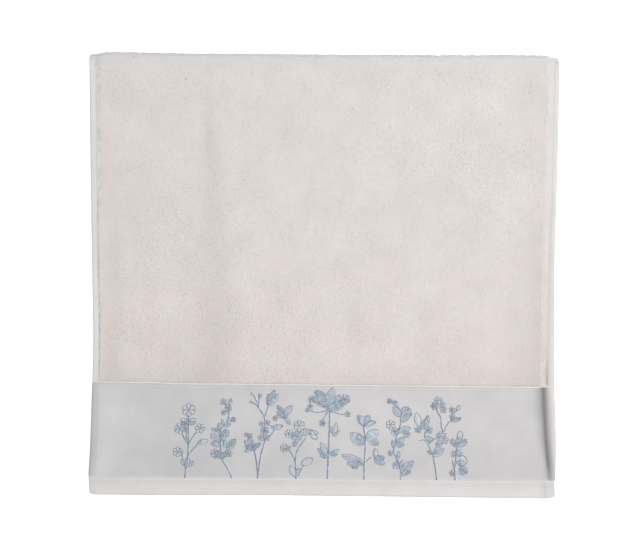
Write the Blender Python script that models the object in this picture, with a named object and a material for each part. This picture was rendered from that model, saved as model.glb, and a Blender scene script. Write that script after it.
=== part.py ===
"""A terry hand towel, folded once across its length and lying flat, as one solid of woven cloth.

The front half lies face up. Its hemmed end is at -Y and the fold is at +Y, where the cloth turns under
into the back half, which rests on the surface at Z = 0. Everything is in metres.
"""

import math
from collections import namedtuple

import bmesh
import bpy

MM = 0.001

# Where the folded towel lies, at the middle of its width.
HEM_EDGE_Y = -237.3 * MM
FOLD_CROWN_Y = 236.9 * MM
BACK_END_Y = -218.6 * MM

# The cloth's thickness: a pile of loops on both faces, and flat weave where there is no pile.
TERRY_THICKNESS = 4.0 * MM
BAND_THICKNESS = 1.6 * MM
HEM_THICKNESS = 3.2 * MM
SELVAGE_THICKNESS = 2.0 * MM
ROUNDED_EDGE_THICKNESS = 2.0 * MM
SELVAGE_WIDTH = 6.4 * MM
PILE_SHOULDER = 1.4 * MM

# How the two halves lie on each other.
LAYER_GAP = 1.5 * MM
FOLD_RADIUS = 4.4 * MM
FOLD_RISE_REACH = 26.0 * MM
TURN_START_Y = FOLD_CROWN_Y - FOLD_RADIUS - TERRY_THICKNESS / 2
SELVAGE_DROOP = 0.6 * MM
DROOP_REACH = 8.0 * MM
DROOP_FULL_FROM_HEM = 78.0 * MM
CORNER_ROUNDING = 1.6 * MM

# The cloth lies a little askew: each cross line falls away to the right by this much per metre.
SKEW_AT_FOLD = 0.0072
SKEW_AT_HEM = 0.0118

# Where a cross line bows off its lean towards one end. It rises by the full amount from x_full outwards, and the
# bow dies away along the cloth over the reach.
Bow = namedtuple("Bow", "name y reach x_start x_full rise")
BOWS = (
    Bow("fold, left end", 236.9 * MM, 40 * MM, -140 * MM, -225 * MM, 0.9 * MM),
    Bow("fold, right end", 236.9 * MM, 40 * MM, 110 * MM, 215 * MM, 0.8 * MM),
    Bow("cords, left end", -119.0 * MM, 34 * MM, -150 * MM, -195 * MM, 1.0 * MM),
    Bow("hem, left end", -237.3 * MM, 40 * MM, -50 * MM, -230 * MM, -1.4 * MM),
)

# How finely the surface is divided.
TERRY_STEPS = 30
BACK_TERRY_STEPS = 9
FOLD_STEPS = 12
INNER_COLUMNS = 37

# The front half's weave, from its hemmed edge to the fold. The last column is the thickness at the far end.
Weave = namedtuple("Weave", "name length steps thickness")
FRONT_WEAVE = (
    Weave("rounded hem edge", 1.0 * MM, 1, HEM_THICKNESS),
    Weave("hem", 17.2 * MM, 2, HEM_THICKNESS),
    Weave("step down to the band", 0.8 * MM, 1, BAND_THICKNESS),
    Weave("flat woven band", 95.2 * MM, 7, BAND_THICKNESS),
    Weave("lower cord, rising", 1.0 * MM, 1, 2.2 * MM),
    Weave("lower cord, falling", 1.0 * MM, 1, BAND_THICKNESS),
    Weave("between the cords", 2.2 * MM, 1, BAND_THICKNESS),
    Weave("upper cord, rising", 0.8 * MM, 1, 2.6 * MM),
    Weave("upper cord, falling", 0.8 * MM, 1, BAND_THICKNESS),
    Weave("edge of the pile", 1.2 * MM, 1, TERRY_THICKNESS),
)
BACK_WEAVE = (
    Weave("edge of the pile", 1.2 * MM, 1, HEM_THICKNESS),
    Weave("hem", 17.0 * MM, 1, HEM_THICKNESS),
    Weave("rounded hem edge", 1.0 * MM, 1, ROUNDED_EDGE_THICKNESS),
)

# The height of the front half's middle plane, by the distance from its hemmed edge. The hem reaches past the
# back half and comes down to the surface. The band lies on the back half, and the pile lifts the terry above it.
Rest = namedtuple("Rest", "distance height")
FRONT_REST = (
    Rest(0.0 * MM, HEM_THICKNESS / 2),
    Rest(3.0 * MM, 1.7 * MM),
    Rest(18.6 * MM, 4.6 * MM),
    Rest(28.0 * MM, 5.1 * MM),
    Rest(38.0 * MM, 5.6 * MM),
    Rest(96.0 * MM, 5.9 * MM),
    Rest(119.4 * MM, 7.1 * MM),
    Rest(140.0 * MM, 1.5 * TERRY_THICKNESS + LAYER_GAP),
)

# Both long edges of each half, by their place along Y. The weave draws the towel in at its middle.
Edge = namedtuple("Edge", "y left right")
FRONT_EDGES = (
    Edge(-237.3 * MM, -251.6 * MM, 247.3 * MM),
    Edge(-230.5 * MM, -252.1 * MM, 247.5 * MM),
    Edge(-214.4 * MM, -252.6 * MM, 246.0 * MM),
    Edge(-193.0 * MM, -251.2 * MM, 243.8 * MM),
    Edge(-160.8 * MM, -250.0 * MM, 241.7 * MM),
    Edge(-128.6 * MM, -248.9 * MM, 240.1 * MM),
    Edge(-107.0 * MM, -248.0 * MM, 239.6 * MM),
    Edge(-66.0 * MM, -247.4 * MM, 240.6 * MM),
    Edge(-5.2 * MM, -248.3 * MM, 241.7 * MM),
    Edge(80.6 * MM, -249.7 * MM, 244.4 * MM),
    Edge(177.2 * MM, -250.9 * MM, 246.5 * MM),
    Edge(230.8 * MM, -251.2 * MM, 247.8 * MM),
)
BACK_EDGES = (
    Edge(-218.6 * MM, -246.8 * MM, 248.2 * MM),
    Edge(-177.0 * MM, -246.0 * MM, 248.9 * MM),
    Edge(-112.0 * MM, -245.0 * MM, 247.3 * MM),
    Edge(32.4 * MM, -245.8 * MM, 247.7 * MM),
    Edge(80.6 * MM, -246.5 * MM, 249.4 * MM),
    Edge(177.2 * MM, -247.5 * MM, 251.9 * MM),
    Edge(230.8 * MM, -248.0 * MM, 252.6 * MM),
)

# The soft creases that the front half keeps from storage. A crease runs from one place to the other, and its
# rise is negative in a trough.
Crease = namedtuple("Crease", "name x_far y_far x_near y_near half_width_far half_width_near rise")
CREASE_FADE = 24.0 * MM
CREASES = (
    Crease("long trough", -0.1250, 0.1650, -0.1150, -0.0950, 7 * MM, 24 * MM, -1.0 * MM),
    Crease("trough by the left selvage", -0.2270, 0.0270, -0.2290, -0.0950, 10 * MM, 12 * MM, -0.9 * MM),
    Crease("trough by the right selvage", 0.2240, 0.0380, 0.2290, -0.0980, 9 * MM, 10 * MM, -1.0 * MM),
    Crease("dimple at mid width", 0.0325, -0.0530, 0.0305, -0.0860, 10 * MM, 11 * MM, -0.7 * MM),
    Crease("dimple at the right", 0.1050, -0.0480, 0.1080, -0.0820, 12 * MM, 13 * MM, -0.7 * MM),
    Crease("broad swell", -0.0280, -0.0100, -0.0240, -0.0950, 34 * MM, 40 * MM, 1.2 * MM),
    Crease("swell at the right", 0.1650, 0.1500, 0.1700, -0.0600, 30 * MM, 36 * MM, 0.8 * MM),
    Crease("swell at the left", -0.1780, 0.1200, -0.1750, -0.0700, 26 * MM, 30 * MM, 0.7 * MM),
)

# The cloth's colour, as linear light.
TERRY_COLOUR = (0.720, 0.655, 0.620, 1.0)
TERRY_ROUGHNESS = 0.95
SHARP_EDGE_DEGREES = 50

# One place along the cloth: its middle line, the way its outer face looks, its thickness and its two edges.
# The share is 0 on the front half and 1 on the back half.
Station = namedtuple("Station", "y height outward_y outward_z thickness left right share")


def eased(amount):
    """Smooth step from 0 to 1, flat at both ends."""
    amount = min(max(amount, 0.0), 1.0)
    return amount * amount * (3.0 - 2.0 * amount)


def along_rows(rows, place, column):
    """A value read from a table by its first column, on a smooth curve through the rows."""
    at = [row[0] for row in rows]
    values = [getattr(row, column) for row in rows]
    if place <= at[0]:
        return values[0]
    if place >= at[-1]:
        return values[-1]
    after = next(index for index, start in enumerate(at) if start > place)
    low, high = after - 1, after

    def slope(index):
        before, behind = max(index - 1, 0), min(index + 1, len(at) - 1)
        return (values[behind] - values[before]) / (at[behind] - at[before])

    span = at[high] - at[low]
    part = (place - at[low]) / span
    ease = eased(part)
    lean_low = part * (1.0 - part) ** 2 * slope(low) * span
    lean_high = part * part * (part - 1.0) * slope(high) * span
    return values[low] + (values[high] - values[low]) * ease + lean_low + lean_high


def resting_height(distance):
    """The height of the front half's middle plane at a distance from its hemmed edge."""
    for low, high in zip(FRONT_REST, FRONT_REST[1:]):
        if distance <= high.distance:
            part = (distance - low.distance) / (high.distance - low.distance)
            return low.height + (high.height - low.height) * eased(part)
    return FRONT_REST[-1].height


def crease_rise(x, y):
    """How far the creases lift the front half here."""
    rise = 0.0
    for crease in CREASES:
        part = (y - crease.y_far) / (crease.y_near - crease.y_far)
        along = min(max(part, 0.0), 1.0)
        centre = crease.x_far + (crease.x_near - crease.x_far) * along
        half = crease.half_width_far + (crease.half_width_near - crease.half_width_far) * along
        past = max(y - crease.y_far, crease.y_near - y, 0.0) / CREASE_FADE
        rise += crease.rise * math.exp(-(((x - centre) / half) ** 2) - past * past)
    return rise


def front_station(distance, thickness):
    """A place on the front half, by its distance from the hemmed edge."""
    y = HEM_EDGE_Y + distance
    flat = FRONT_REST[-1].height
    crown = TERRY_THICKNESS / 2 + 2 * FOLD_RADIUS
    rise = (crown - flat) * math.exp(-(((TURN_START_Y - y) / FOLD_RISE_REACH) ** 2))
    height = resting_height(distance) + rise
    left = along_rows(FRONT_EDGES, y, "left")
    right = along_rows(FRONT_EDGES, y, "right")
    return Station(y, height, 0.0, 1.0, thickness, left, right, 0.0)


def back_station(y, thickness):
    """A place on the back half, whose outer face lies on the surface."""
    left = along_rows(BACK_EDGES, y, "left")
    right = along_rows(BACK_EDGES, y, "right")
    return Station(y, thickness / 2, 0.0, -1.0, thickness, left, right, 1.0)


def weave_steps(weave, start, thickness):
    """The places along a run of weaves, after its start, as distance and thickness."""
    for run in weave:
        for step in range(1, run.steps + 1):
            part = step / run.steps
            yield start + run.length * part, thickness + (run.thickness - thickness) * part
        start += run.length
        thickness = run.thickness


def stations():
    """Every place along the cloth, from the front hem over the fold to the back half's end."""
    found = [front_station(0.0, ROUNDED_EDGE_THICKNESS)]
    for distance, thickness in weave_steps(FRONT_WEAVE, 0.0, ROUNDED_EDGE_THICKNESS):
        found.append(front_station(distance, thickness))

    pile_start = sum(run.length for run in FRONT_WEAVE)
    terry_length = TURN_START_Y - HEM_EDGE_Y - pile_start
    for step in range(1, TERRY_STEPS + 1):
        distance = pile_start + terry_length * step / TERRY_STEPS
        found.append(front_station(distance, TERRY_THICKNESS))

    front, back = found[-1], back_station(TURN_START_Y, TERRY_THICKNESS)
    for step in range(1, FOLD_STEPS):
        turned = step / FOLD_STEPS
        angle = math.pi * turned
        across, up = math.sin(angle), math.cos(angle)
        found.append(
            Station(
                TURN_START_Y + FOLD_RADIUS * across,
                TERRY_THICKNESS / 2 + FOLD_RADIUS * (1.0 + up),
                across,
                up,
                TERRY_THICKNESS,
                front.left + (back.left - front.left) * turned,
                front.right + (back.right - front.right) * turned,
                turned,
            )
        )

    hem_start = BACK_END_Y + sum(run.length for run in BACK_WEAVE)
    for step in range(BACK_TERRY_STEPS + 1):
        y = TURN_START_Y + (hem_start - TURN_START_Y) * step / BACK_TERRY_STEPS
        found.append(back_station(y, TERRY_THICKNESS))
    for distance, thickness in weave_steps(BACK_WEAVE, 0.0, TERRY_THICKNESS):
        found.append(back_station(hem_start - distance, thickness))
    return found


def columns(left, right):
    """The places across the cloth, each with its distance from the nearer long edge."""
    shoulder = SELVAGE_WIDTH + PILE_SHOULDER
    near = (0.0, SELVAGE_WIDTH / 2, SELVAGE_WIDTH)
    places = [(left + inset, inset) for inset in near]
    inner_width = right - left - 2 * shoulder
    for step in range(INNER_COLUMNS):
        x = left + shoulder + inner_width * step / (INNER_COLUMNS - 1)
        places.append((x, min(x - left, right - x)))
    places += [(right - inset, inset) for inset in reversed(near)]
    return places


def skewed(x, y):
    """Y after the cloth's lean, which grows from the fold to the hem, and its bows."""
    towards_hem = (FOLD_CROWN_Y - y) / (FOLD_CROWN_Y - HEM_EDGE_Y)
    lean = x * (SKEW_AT_FOLD + (SKEW_AT_HEM - SKEW_AT_FOLD) * towards_hem)
    bowed = 0.0
    for bow in BOWS:
        outwards = eased((x - bow.x_start) / (bow.x_full - bow.x_start))
        bowed += bow.rise * outwards * math.exp(-(((y - bow.y) / bow.reach) ** 2))
    return y - lean + bowed


def faces_at(station, x, inset):
    """The outer and the inner point of the cloth at one place."""
    on_selvage = 1.0 - eased((inset - SELVAGE_WIDTH) / PILE_SHOULDER)
    thinned = min(SELVAGE_THICKNESS, station.thickness)
    thickness = station.thickness + (thinned - station.thickness) * on_selvage
    near_edge = max(0.0, 1.0 - inset / DROOP_REACH)
    height, y = station.height, station.y
    if station.share == 0.0:
        lifted = eased((y - HEM_EDGE_Y) / DROOP_FULL_FROM_HEM)
        free = eased((TURN_START_Y - y) / FOLD_RISE_REACH)
        height += crease_rise(x, y) * free - SELVAGE_DROOP * near_edge * lifted * free
        y += CORNER_ROUNDING * near_edge**2 * max(0.0, 1.0 - (y - HEM_EDGE_Y) / DROOP_REACH)
    elif station.share == 1.0:
        height = thickness / 2
    half = thickness / 2
    y = skewed(x, y)
    outer = (x, y + station.outward_y * half, height + station.outward_z * half)
    inner = (x, y - station.outward_y * half, height - station.outward_z * half)
    return outer, inner


def towel_mesh():
    """The closed mesh: a ring of points at each station, joined to the next, with both ends closed."""
    shape = bmesh.new()
    rings = []
    for station in stations():
        pairs = [faces_at(station, x, inset) for x, inset in columns(station.left, station.right)]
        outer = [shape.verts.new(pair[0]) for pair in pairs]
        inner = [shape.verts.new(pair[1]) for pair in pairs]
        rings.append((outer, inner))
    count = len(rings[0][0])
    for (outer, inner), (next_outer, next_inner) in zip(rings, rings[1:]):
        for index in range(count - 1):
            shape.faces.new((outer[index], outer[index + 1], next_outer[index + 1], next_outer[index]))
            shape.faces.new((inner[index + 1], inner[index], next_inner[index], next_inner[index + 1]))
        shape.faces.new((inner[0], outer[0], next_outer[0], next_inner[0]))
        shape.faces.new((outer[-1], inner[-1], next_inner[-1], next_outer[-1]))
    for (outer, inner), first in ((rings[0], True), (rings[-1], False)):
        for index in range(count - 1):
            corners = [outer[index], inner[index], inner[index + 1], outer[index + 1]]
            shape.faces.new(corners if first else corners[::-1])
    centre_on_the_surface(shape)
    bmesh.ops.recalc_face_normals(shape, faces=shape.faces)
    mesh = bpy.data.meshes.new("towel")
    shape.to_mesh(mesh)
    shape.free()
    return mesh


def centre_on_the_surface(shape):
    """Moves the cloth so that the origin is under the middle of it, on the surface that it lies on."""
    lows = [min(vert.co[axis] for vert in shape.verts) for axis in range(3)]
    highs = [max(vert.co[axis] for vert in shape.verts) for axis in range(3)]
    shift = (-(lows[0] + highs[0]) / 2, -(lows[1] + highs[1]) / 2, -lows[2])
    bmesh.ops.translate(shape, verts=shape.verts, vec=shift)


def terry_material():
    """Soft cotton terry."""
    material = bpy.data.materials.new("cotton_terry")
    material.use_nodes = True
    shader = material.node_tree.nodes["Principled BSDF"]
    shader.inputs["Base Color"].default_value = TERRY_COLOUR
    shader.inputs["Roughness"].default_value = TERRY_ROUGHNESS
    shader.inputs["Metallic"].default_value = 0.0
    material.diffuse_color = TERRY_COLOUR
    return material


def clear_scene():
    """Removes what the scene holds."""
    for thing in list(bpy.data.objects):
        bpy.data.objects.remove(thing, do_unlink=True)


def main():
    clear_scene()
    mesh = towel_mesh()
    mesh.materials.append(terry_material())
    mesh.shade_smooth()
    mesh.set_sharp_from_angle(angle=math.radians(SHARP_EDGE_DEGREES))
    towel = bpy.data.objects.new("towel", mesh)
    bpy.context.scene.collection.objects.link(towel)


main()
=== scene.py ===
"""A terry hand towel folded once across, face up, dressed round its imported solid.

The cloth repeats the solid's layers, fold, creases, band, cords and hem on a finer mesh. The loops of the
pile stand on it, and the hem stitching and nine embroidered flower sprigs are sewn to it. Metres, +Z up, in the
model's frame.
"""

from __future__ import annotations

import sys
import logging
import math
from dataclasses import dataclass, field
from enum import Enum
from typing import NamedTuple, Sequence

import bpy
import numpy as np
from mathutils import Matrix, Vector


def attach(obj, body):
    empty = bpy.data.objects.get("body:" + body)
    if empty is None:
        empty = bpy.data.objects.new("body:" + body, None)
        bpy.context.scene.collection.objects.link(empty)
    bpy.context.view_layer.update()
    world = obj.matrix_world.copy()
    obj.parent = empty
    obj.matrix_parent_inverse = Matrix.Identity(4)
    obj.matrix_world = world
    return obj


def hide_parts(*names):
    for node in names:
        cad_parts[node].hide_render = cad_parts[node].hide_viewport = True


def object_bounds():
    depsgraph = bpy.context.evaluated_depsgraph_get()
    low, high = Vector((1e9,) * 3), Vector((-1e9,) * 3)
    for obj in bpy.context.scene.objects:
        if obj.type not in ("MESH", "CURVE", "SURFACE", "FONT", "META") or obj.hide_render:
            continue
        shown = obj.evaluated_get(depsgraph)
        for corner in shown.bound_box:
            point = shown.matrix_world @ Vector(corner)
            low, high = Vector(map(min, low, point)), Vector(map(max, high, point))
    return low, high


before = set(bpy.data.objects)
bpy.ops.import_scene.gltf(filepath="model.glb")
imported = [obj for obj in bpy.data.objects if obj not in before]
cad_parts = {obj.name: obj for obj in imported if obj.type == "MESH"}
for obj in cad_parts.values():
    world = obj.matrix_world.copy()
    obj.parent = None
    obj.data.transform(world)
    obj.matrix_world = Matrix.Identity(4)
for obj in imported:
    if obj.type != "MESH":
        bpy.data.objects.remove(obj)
CAD_LOW, CAD_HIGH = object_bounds()

MM = 0.001
ROUNDING = 1e-7
MAP_MARGIN = 0.01
BODY = "root"
NODE = "towel"
BAKE_MAP = "OFBake"
SHADE = "shade"
# Mesh attribute for the grey painted shade round the fold, also laid on the loops near the long edges.
GREY_SHADE = "stretch"
TONE = "tone"
TINT = "tint"
LOG = logging.getLogger("towel")

Colour = tuple[float, float, float]
Table = tuple[tuple[float, float], ...]


# ---------------------------------------------------------------- helpers


def eased(amount: np.ndarray | float) -> np.ndarray:
    """Smooth step from 0 to 1, flat at both ends.

    Args:
        amount: where to read it; values outside 0 to 1 are held at the ends.

    Returns:
        The eased amount, an array of the same shape.
    """
    held = np.clip(amount, 0.0, 1.0)
    return held * held * (3.0 - 2.0 * held)


def mixed(low: np.ndarray | float, high: np.ndarray | float, part: np.ndarray | float) -> np.ndarray:
    """Straight mix of two values.

    Args:
        low: the value where part is 0.
        high: the value where part is 1.
        part: how far from low to high.

    Returns:
        The mix.
    """
    return low + (high - low) * part


class Fade(NamedTuple):
    """What changes smoothly from low, where a measure is at its start, to high, where it is full."""

    start: float
    full: float
    high: float = 1.0
    low: float = 0.0

    def at(self, measure: np.ndarray) -> np.ndarray:
        """The amount at those measures."""
        return mixed(self.low, self.high, eased((measure - self.start) / (self.full - self.start)))


class Mound(NamedTuple):
    """What is high where a measure is at its middle and dies away softly to both sides."""

    middle: float
    half_width: float
    high: float = 1.0

    def at(self, measure: np.ndarray) -> np.ndarray:
        """The amount at those measures."""
        return self.high * np.exp(-(((measure - self.middle) / self.half_width) ** 2))


def straight_table(rows: Table, at: np.ndarray) -> np.ndarray:
    """What a table of millimetres and values says at places in metres, straight from row to row."""
    return np.interp(at / MM, *np.array(rows).T)


def eased_table(at: np.ndarray, values: np.ndarray, places: np.ndarray) -> np.ndarray:
    """Reads a table that eases from each row to the next.

    Args:
        at: where its rows are.
        values: the values of its rows.
        places: where to read it.

    Returns:
        The value at each place.
    """
    low = np.clip(np.searchsorted(at, places, side="right") - 1, 0, len(at) - 2)
    return mixed(values[low], values[low + 1], eased((places - at[low]) / (at[low + 1] - at[low])))


class SoftNoise:
    """Smooth unevenness over a plane, the sum of long waves in seeded directions."""

    WAVES = 28

    def __init__(self, seed: int, shortest: float, longest: float) -> None:
        """Draws the waves.

        Args:
            seed: starts the draw, so that each run is the same.
            shortest: the shortest wave, in metres.
            longest: the longest wave, in metres.
        """
        draw = np.random.default_rng(seed)
        length = np.exp(draw.uniform(math.log(shortest), math.log(longest), self.WAVES))
        heading = draw.uniform(0.0, math.tau, self.WAVES)
        self.along_x = np.cos(heading) * math.tau / length
        self.along_y = np.sin(heading) * math.tau / length
        self.phase = draw.uniform(0.0, math.tau, self.WAVES)

    def at(self, x: np.ndarray, y: np.ndarray) -> np.ndarray:
        """Reads the unevenness.

        Args:
            x: places across.
            y: places along.

        Returns:
            Values about 0, mostly from -1 to 1.
        """
        total = np.zeros(np.broadcast(x, y).shape)
        for along_x, along_y, phase in zip(self.along_x, self.along_y, self.phase):
            total += np.sin(x * along_x + y * along_y + phase)
        return total / math.sqrt(self.WAVES)


# The uneven border of the grey painted shade round the fold.
GREY_SHADE_BORDER = SoftNoise(21, 14 * MM, 80 * MM)


def mesh_piece(name: str, points: np.ndarray, faces: np.ndarray, bake_map: np.ndarray) -> bpy.types.Object:
    """Makes an object of one mesh and links it to the scene.

    Args:
        name: the piece's name.
        points: its vertices, one row of three numbers each.
        faces: its faces, one row of three or four vertex numbers each.
        bake_map: the map's place for each corner of each face, or for each vertex.

    Returns:
        The object, shaded smooth.
    """
    sides = faces.shape[1]
    mesh = bpy.data.meshes.new(name)
    mesh.vertices.add(len(points))
    mesh.vertices.foreach_set("co", points.astype(np.float32).ravel())
    mesh.loops.add(faces.size)
    mesh.loops.foreach_set("vertex_index", faces.astype(np.int32).ravel())
    mesh.polygons.add(len(faces))
    mesh.polygons.foreach_set("loop_start", np.arange(len(faces), dtype=np.int32) * sides)
    corners = bake_map if len(bake_map) == faces.size else bake_map[faces.ravel()]
    layer = mesh.uv_layers.new(name=BAKE_MAP)
    layer.data.foreach_set("uv", corners.astype(np.float32).ravel())
    mesh.update(calc_edges=True)
    mesh.validate()
    mesh.shade_smooth()
    piece = bpy.data.objects.new(name, mesh)
    bpy.context.scene.collection.objects.link(piece)
    return piece


def store(piece: bpy.types.Object, name: str, values: np.ndarray) -> None:
    """Stores one number with each vertex of a piece, for its material to read."""
    layer = piece.data.attributes.new(name, "FLOAT", "POINT")
    layer.data.foreach_set("value", values.astype(np.float32).ravel())


def spread_map(x: np.ndarray, y: np.ndarray) -> np.ndarray:
    """Fills the bake map with two measures of each point.

    Args:
        x: the measure that runs along the map's width.
        y: the measure that runs along its height.

    Returns:
        One row of two numbers for each point, with the margin left free at each side of the map.
    """
    rows = []
    for measure in (x, y):
        flat = np.ravel(measure)
        span = max(float(np.ptp(flat)), 1e-9)
        rows.append(mixed(MAP_MARGIN, 1.0 - MAP_MARGIN, (flat - flat.min()) / span))
    return np.stack(rows, axis=-1)


def unit(ways: np.ndarray) -> np.ndarray:
    """The same directions, each with the length 1."""
    return ways / np.maximum(np.linalg.norm(ways, axis=1, keepdims=True), 1e-9)


def quads(*corners: np.ndarray) -> np.ndarray:
    """The faces with those four corners, one row of four vertex numbers each."""
    return np.stack(corners, axis=-1).reshape(-1, 4)


def quad_map(u: Sequence[np.ndarray], v: Sequence[np.ndarray]) -> np.ndarray:
    """The bake map of faces whose four corners lie at those places along it and up it."""
    return np.stack((np.stack(u, axis=-1), np.stack(v, axis=-1)), axis=-1).reshape(-1, 2)


def spindle_faces(points: np.ndarray, sides: int, turned_over: bool) -> np.ndarray:
    """The triangles of many closed spindles.

    Args:
        points: one row of points for each spindle: a tip, its rings one after another and the other tip.
        sides: how many points a ring has.
        turned_over: whether the rings run the other way round.

    Returns:
        One row of three vertex numbers for each triangle.
    """
    count, per_spindle = points.shape[:2]
    last = per_spindle - 1
    faces = []
    for corner in range(sides):
        after = (corner + 1) % sides
        faces.append((0, 1 + after, 1 + corner))
        for low in range(1, last - sides, sides):
            high = low + sides
            faces.append((low + corner, low + after, high + after))
            faces.append((low + corner, high + after, high + corner))
        faces.append((last, last - sides + corner, last - sides + after))
    spindle = np.array(faces)[:, (0, 2, 1) if turned_over else (0, 1, 2)]
    return (spindle + (np.arange(count) * per_spindle)[:, None, None]).reshape(-1, 3)


def finish_piece(piece: bpy.types.Object, slot: str, *finishes: PileFinish | WeaveFinish | ThreadFinish
                 ) -> None:
    """Gives a piece its finishes and its body.

    Args:
        piece: the piece.
        slot: the record's material slot; not used.
        finishes: its finishes, in the order of its material numbers.
    """
    for finish in finishes:
        piece.data.materials.append(bpy.data.materials.get(finish.name) or finish.material())
    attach(piece, BODY)


# ---------------------------------------------------------------- finishes


class NodeKit:
    """The nodes of one material, with its Principled shader ready to be fed."""

    GLOSS = 0.25

    def __init__(self, name: str, roughness: float, sheen: float, sheen_roughness: float) -> None:
        """Starts the material with the values that are the same all over it.

        Args:
            name: the material's name.
            roughness: how matt the surface is.
            sheen: how strongly loose fibres catch grazing light.
            sheen_roughness: how wide that sheen spreads.
        """
        self.material = bpy.data.materials.new(name)
        self.material.use_nodes = True
        self.tree = self.material.node_tree
        self.shader = self.tree.nodes["Principled BSDF"]
        self.shader.inputs["Roughness"].default_value = roughness
        self.shader.inputs["Sheen Weight"].default_value = sheen
        self.shader.inputs["Sheen Roughness"].default_value = sheen_roughness
        self.shader.inputs["Specular IOR Level"].default_value = self.GLOSS
        self.place = self.tree.nodes.new("ShaderNodeTexCoord").outputs["Object"]

    def feed(self, source: bpy.types.NodeSocket, target: bpy.types.NodeSocket) -> None:
        """Links one socket to another."""
        self.tree.links.new(source, target)

    def noise(self, scale: tuple[float, float, float], detail: float) -> bpy.types.NodeSocket:
        """Noise over the object's own coordinates.

        Args:
            scale: how many features there are to a metre along each axis.
            detail: how much finer noise is laid over it.

        Returns:
            The socket with the noise, from 0 to 1.
        """
        stretch = self.tree.nodes.new("ShaderNodeMapping")
        stretch.inputs["Scale"].default_value = scale
        self.feed(self.place, stretch.inputs["Vector"])
        noise = self.tree.nodes.new("ShaderNodeTexNoise")
        noise.inputs["Scale"].default_value = 1.0
        noise.inputs["Detail"].default_value = detail
        self.feed(stretch.outputs["Vector"], noise.inputs["Vector"])
        return noise.outputs["Fac"]

    def maths(self, kind: str, first: bpy.types.NodeSocket, second: bpy.types.NodeSocket | float
              ) -> bpy.types.NodeSocket:
        """One sum of two values.

        Args:
            kind: Blender's name for the sum, such as MULTIPLY.
            first: the first value's socket.
            second: the second value, or its socket.

        Returns:
            The socket with the result.
        """
        node = self.tree.nodes.new("ShaderNodeMath")
        node.operation = kind
        self.feed(first, node.inputs[0])
        if isinstance(second, float):
            node.inputs[1].default_value = second
        else:
            self.feed(second, node.inputs[1])
        return node.outputs["Value"]

    def attribute(self, name: str) -> bpy.types.NodeSocket:
        """Reads what the mesh stores.

        Args:
            name: the name that it is stored under.

        Returns:
            The socket with the value.
        """
        node = self.tree.nodes.new("ShaderNodeAttribute")
        node.attribute_name = name
        return node.outputs["Fac"]

    def blend(self, amount: bpy.types.NodeSocket, first: Colour | bpy.types.NodeSocket,
              second: Colour | bpy.types.NodeSocket) -> bpy.types.NodeSocket:
        """Mixes two colours.

        Args:
            amount: the socket that says how much of the second there is.
            first: the colour, or its socket, where amount is 0.
            second: the colour, or its socket, where amount is 1.

        Returns:
            The socket with the mixed colour.
        """
        node = self.tree.nodes.new("ShaderNodeMix")
        node.data_type = "RGBA"
        self.feed(amount, node.inputs["Factor"])
        for target, colour in zip([s for s in node.inputs if s.type == "RGBA"], (first, second)):
            if isinstance(colour, tuple):
                target.default_value = (*colour, 1.0)
            else:
                self.feed(colour, target)
        return next(s for s in node.outputs if s.type == "RGBA")

    def contrast(self, source: bpy.types.NodeSocket, low: float = 0.30, high: float = 0.70
                 ) -> bpy.types.NodeSocket:
        """Stretches a value so that low becomes 0 and high becomes 1.

        Args:
            source: the value's socket.
            low: what becomes 0.
            high: what becomes 1.

        Returns:
            The socket with the stretched value.
        """
        node = self.tree.nodes.new("ShaderNodeMapRange")
        self.feed(source, node.inputs["Value"])
        node.inputs["From Min"].default_value = low
        node.inputs["From Max"].default_value = high
        return node.outputs["Result"]

    def raise_by(self, height: bpy.types.NodeSocket, distance: float, strength: float) -> None:
        """Lets a height show in the shading.

        Args:
            height: the height's socket, from 0 to 1.
            distance: how high 1 is, in metres.
            strength: how fully it shows.
        """
        bump = self.tree.nodes.new("ShaderNodeBump")
        bump.inputs["Distance"].default_value = distance
        bump.inputs["Strength"].default_value = strength
        self.feed(height, bump.inputs["Height"])
        self.feed(bump.outputs["Normal"], self.shader.inputs["Normal"])


def paints(*colours: tuple[int, int, int]) -> list[Colour]:
    """Colours in linear light from their usual values out of 255.

    Args:
        colours: the red, green and blue value of each.

    Returns:
        The same colours in linear light.
    """

    def linear(value: int) -> float:
        """One channel in linear light, by the usual curve of screens."""
        share = value / 255
        return share / 12.92 if share <= 0.04045 else ((share + 0.055) / 1.055) ** 2.4

    return [(linear(red), linear(green), linear(blue)) for red, green, blue in colours]


@dataclass(frozen=True)
class PileFinish:
    """Soft cotton loops: off-white in patches and streaks, warmer where the mesh says so, and the painted shade
    it stores.
    """

    name: str
    pale: Colour
    deep: Colour
    # The grey of the painted shade round the fold, then the colour of the darker painted shade and shadows.
    grey_fold_shade: Colour
    pile_shade: Colour
    warm_pale: Colour
    warm_deep: Colour
    patch_size: float = 34 * MM
    streak_width: float = 2.6 * MM
    streak_length: float = 18 * MM
    streak_share: float = 0.25
    roughness: float = 0.95
    sheen: float = 0.25
    sheen_roughness: float = 0.55

    def material(self) -> bpy.types.Material:
        """Makes the material, with its colour worked out from the object's coordinates.

        Returns:
            The material.
        """
        kit = NodeKit(self.name, self.roughness, self.sheen, self.sheen_roughness)
        patches = kit.contrast(kit.noise((1 / self.patch_size,) * 3, 2.0))
        across, along = 1 / self.streak_width, 1 / self.streak_length
        streaks = kit.contrast(kit.noise((across, along, across), 1.0))
        share = kit.maths("MULTIPLY", streaks, self.streak_share)
        rest = kit.maths("MULTIPLY", patches, 1.0 - self.streak_share)
        deep = kit.blend(kit.attribute(TINT), self.deep, self.warm_deep)
        pale = kit.blend(kit.attribute(TINT), self.pale, self.warm_pale)
        loops = kit.blend(kit.maths("ADD", share, rest), deep, pale)
        # Painted shade: grey round the fold and near the long edges, and darker where the mesh stores shade.
        loops = kit.blend(kit.attribute(GREY_SHADE), loops, self.grey_fold_shade)
        kit.feed(kit.blend(kit.attribute(SHADE), loops, self.pile_shade), kit.shader.inputs["Base Color"])
        return kit.material


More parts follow.
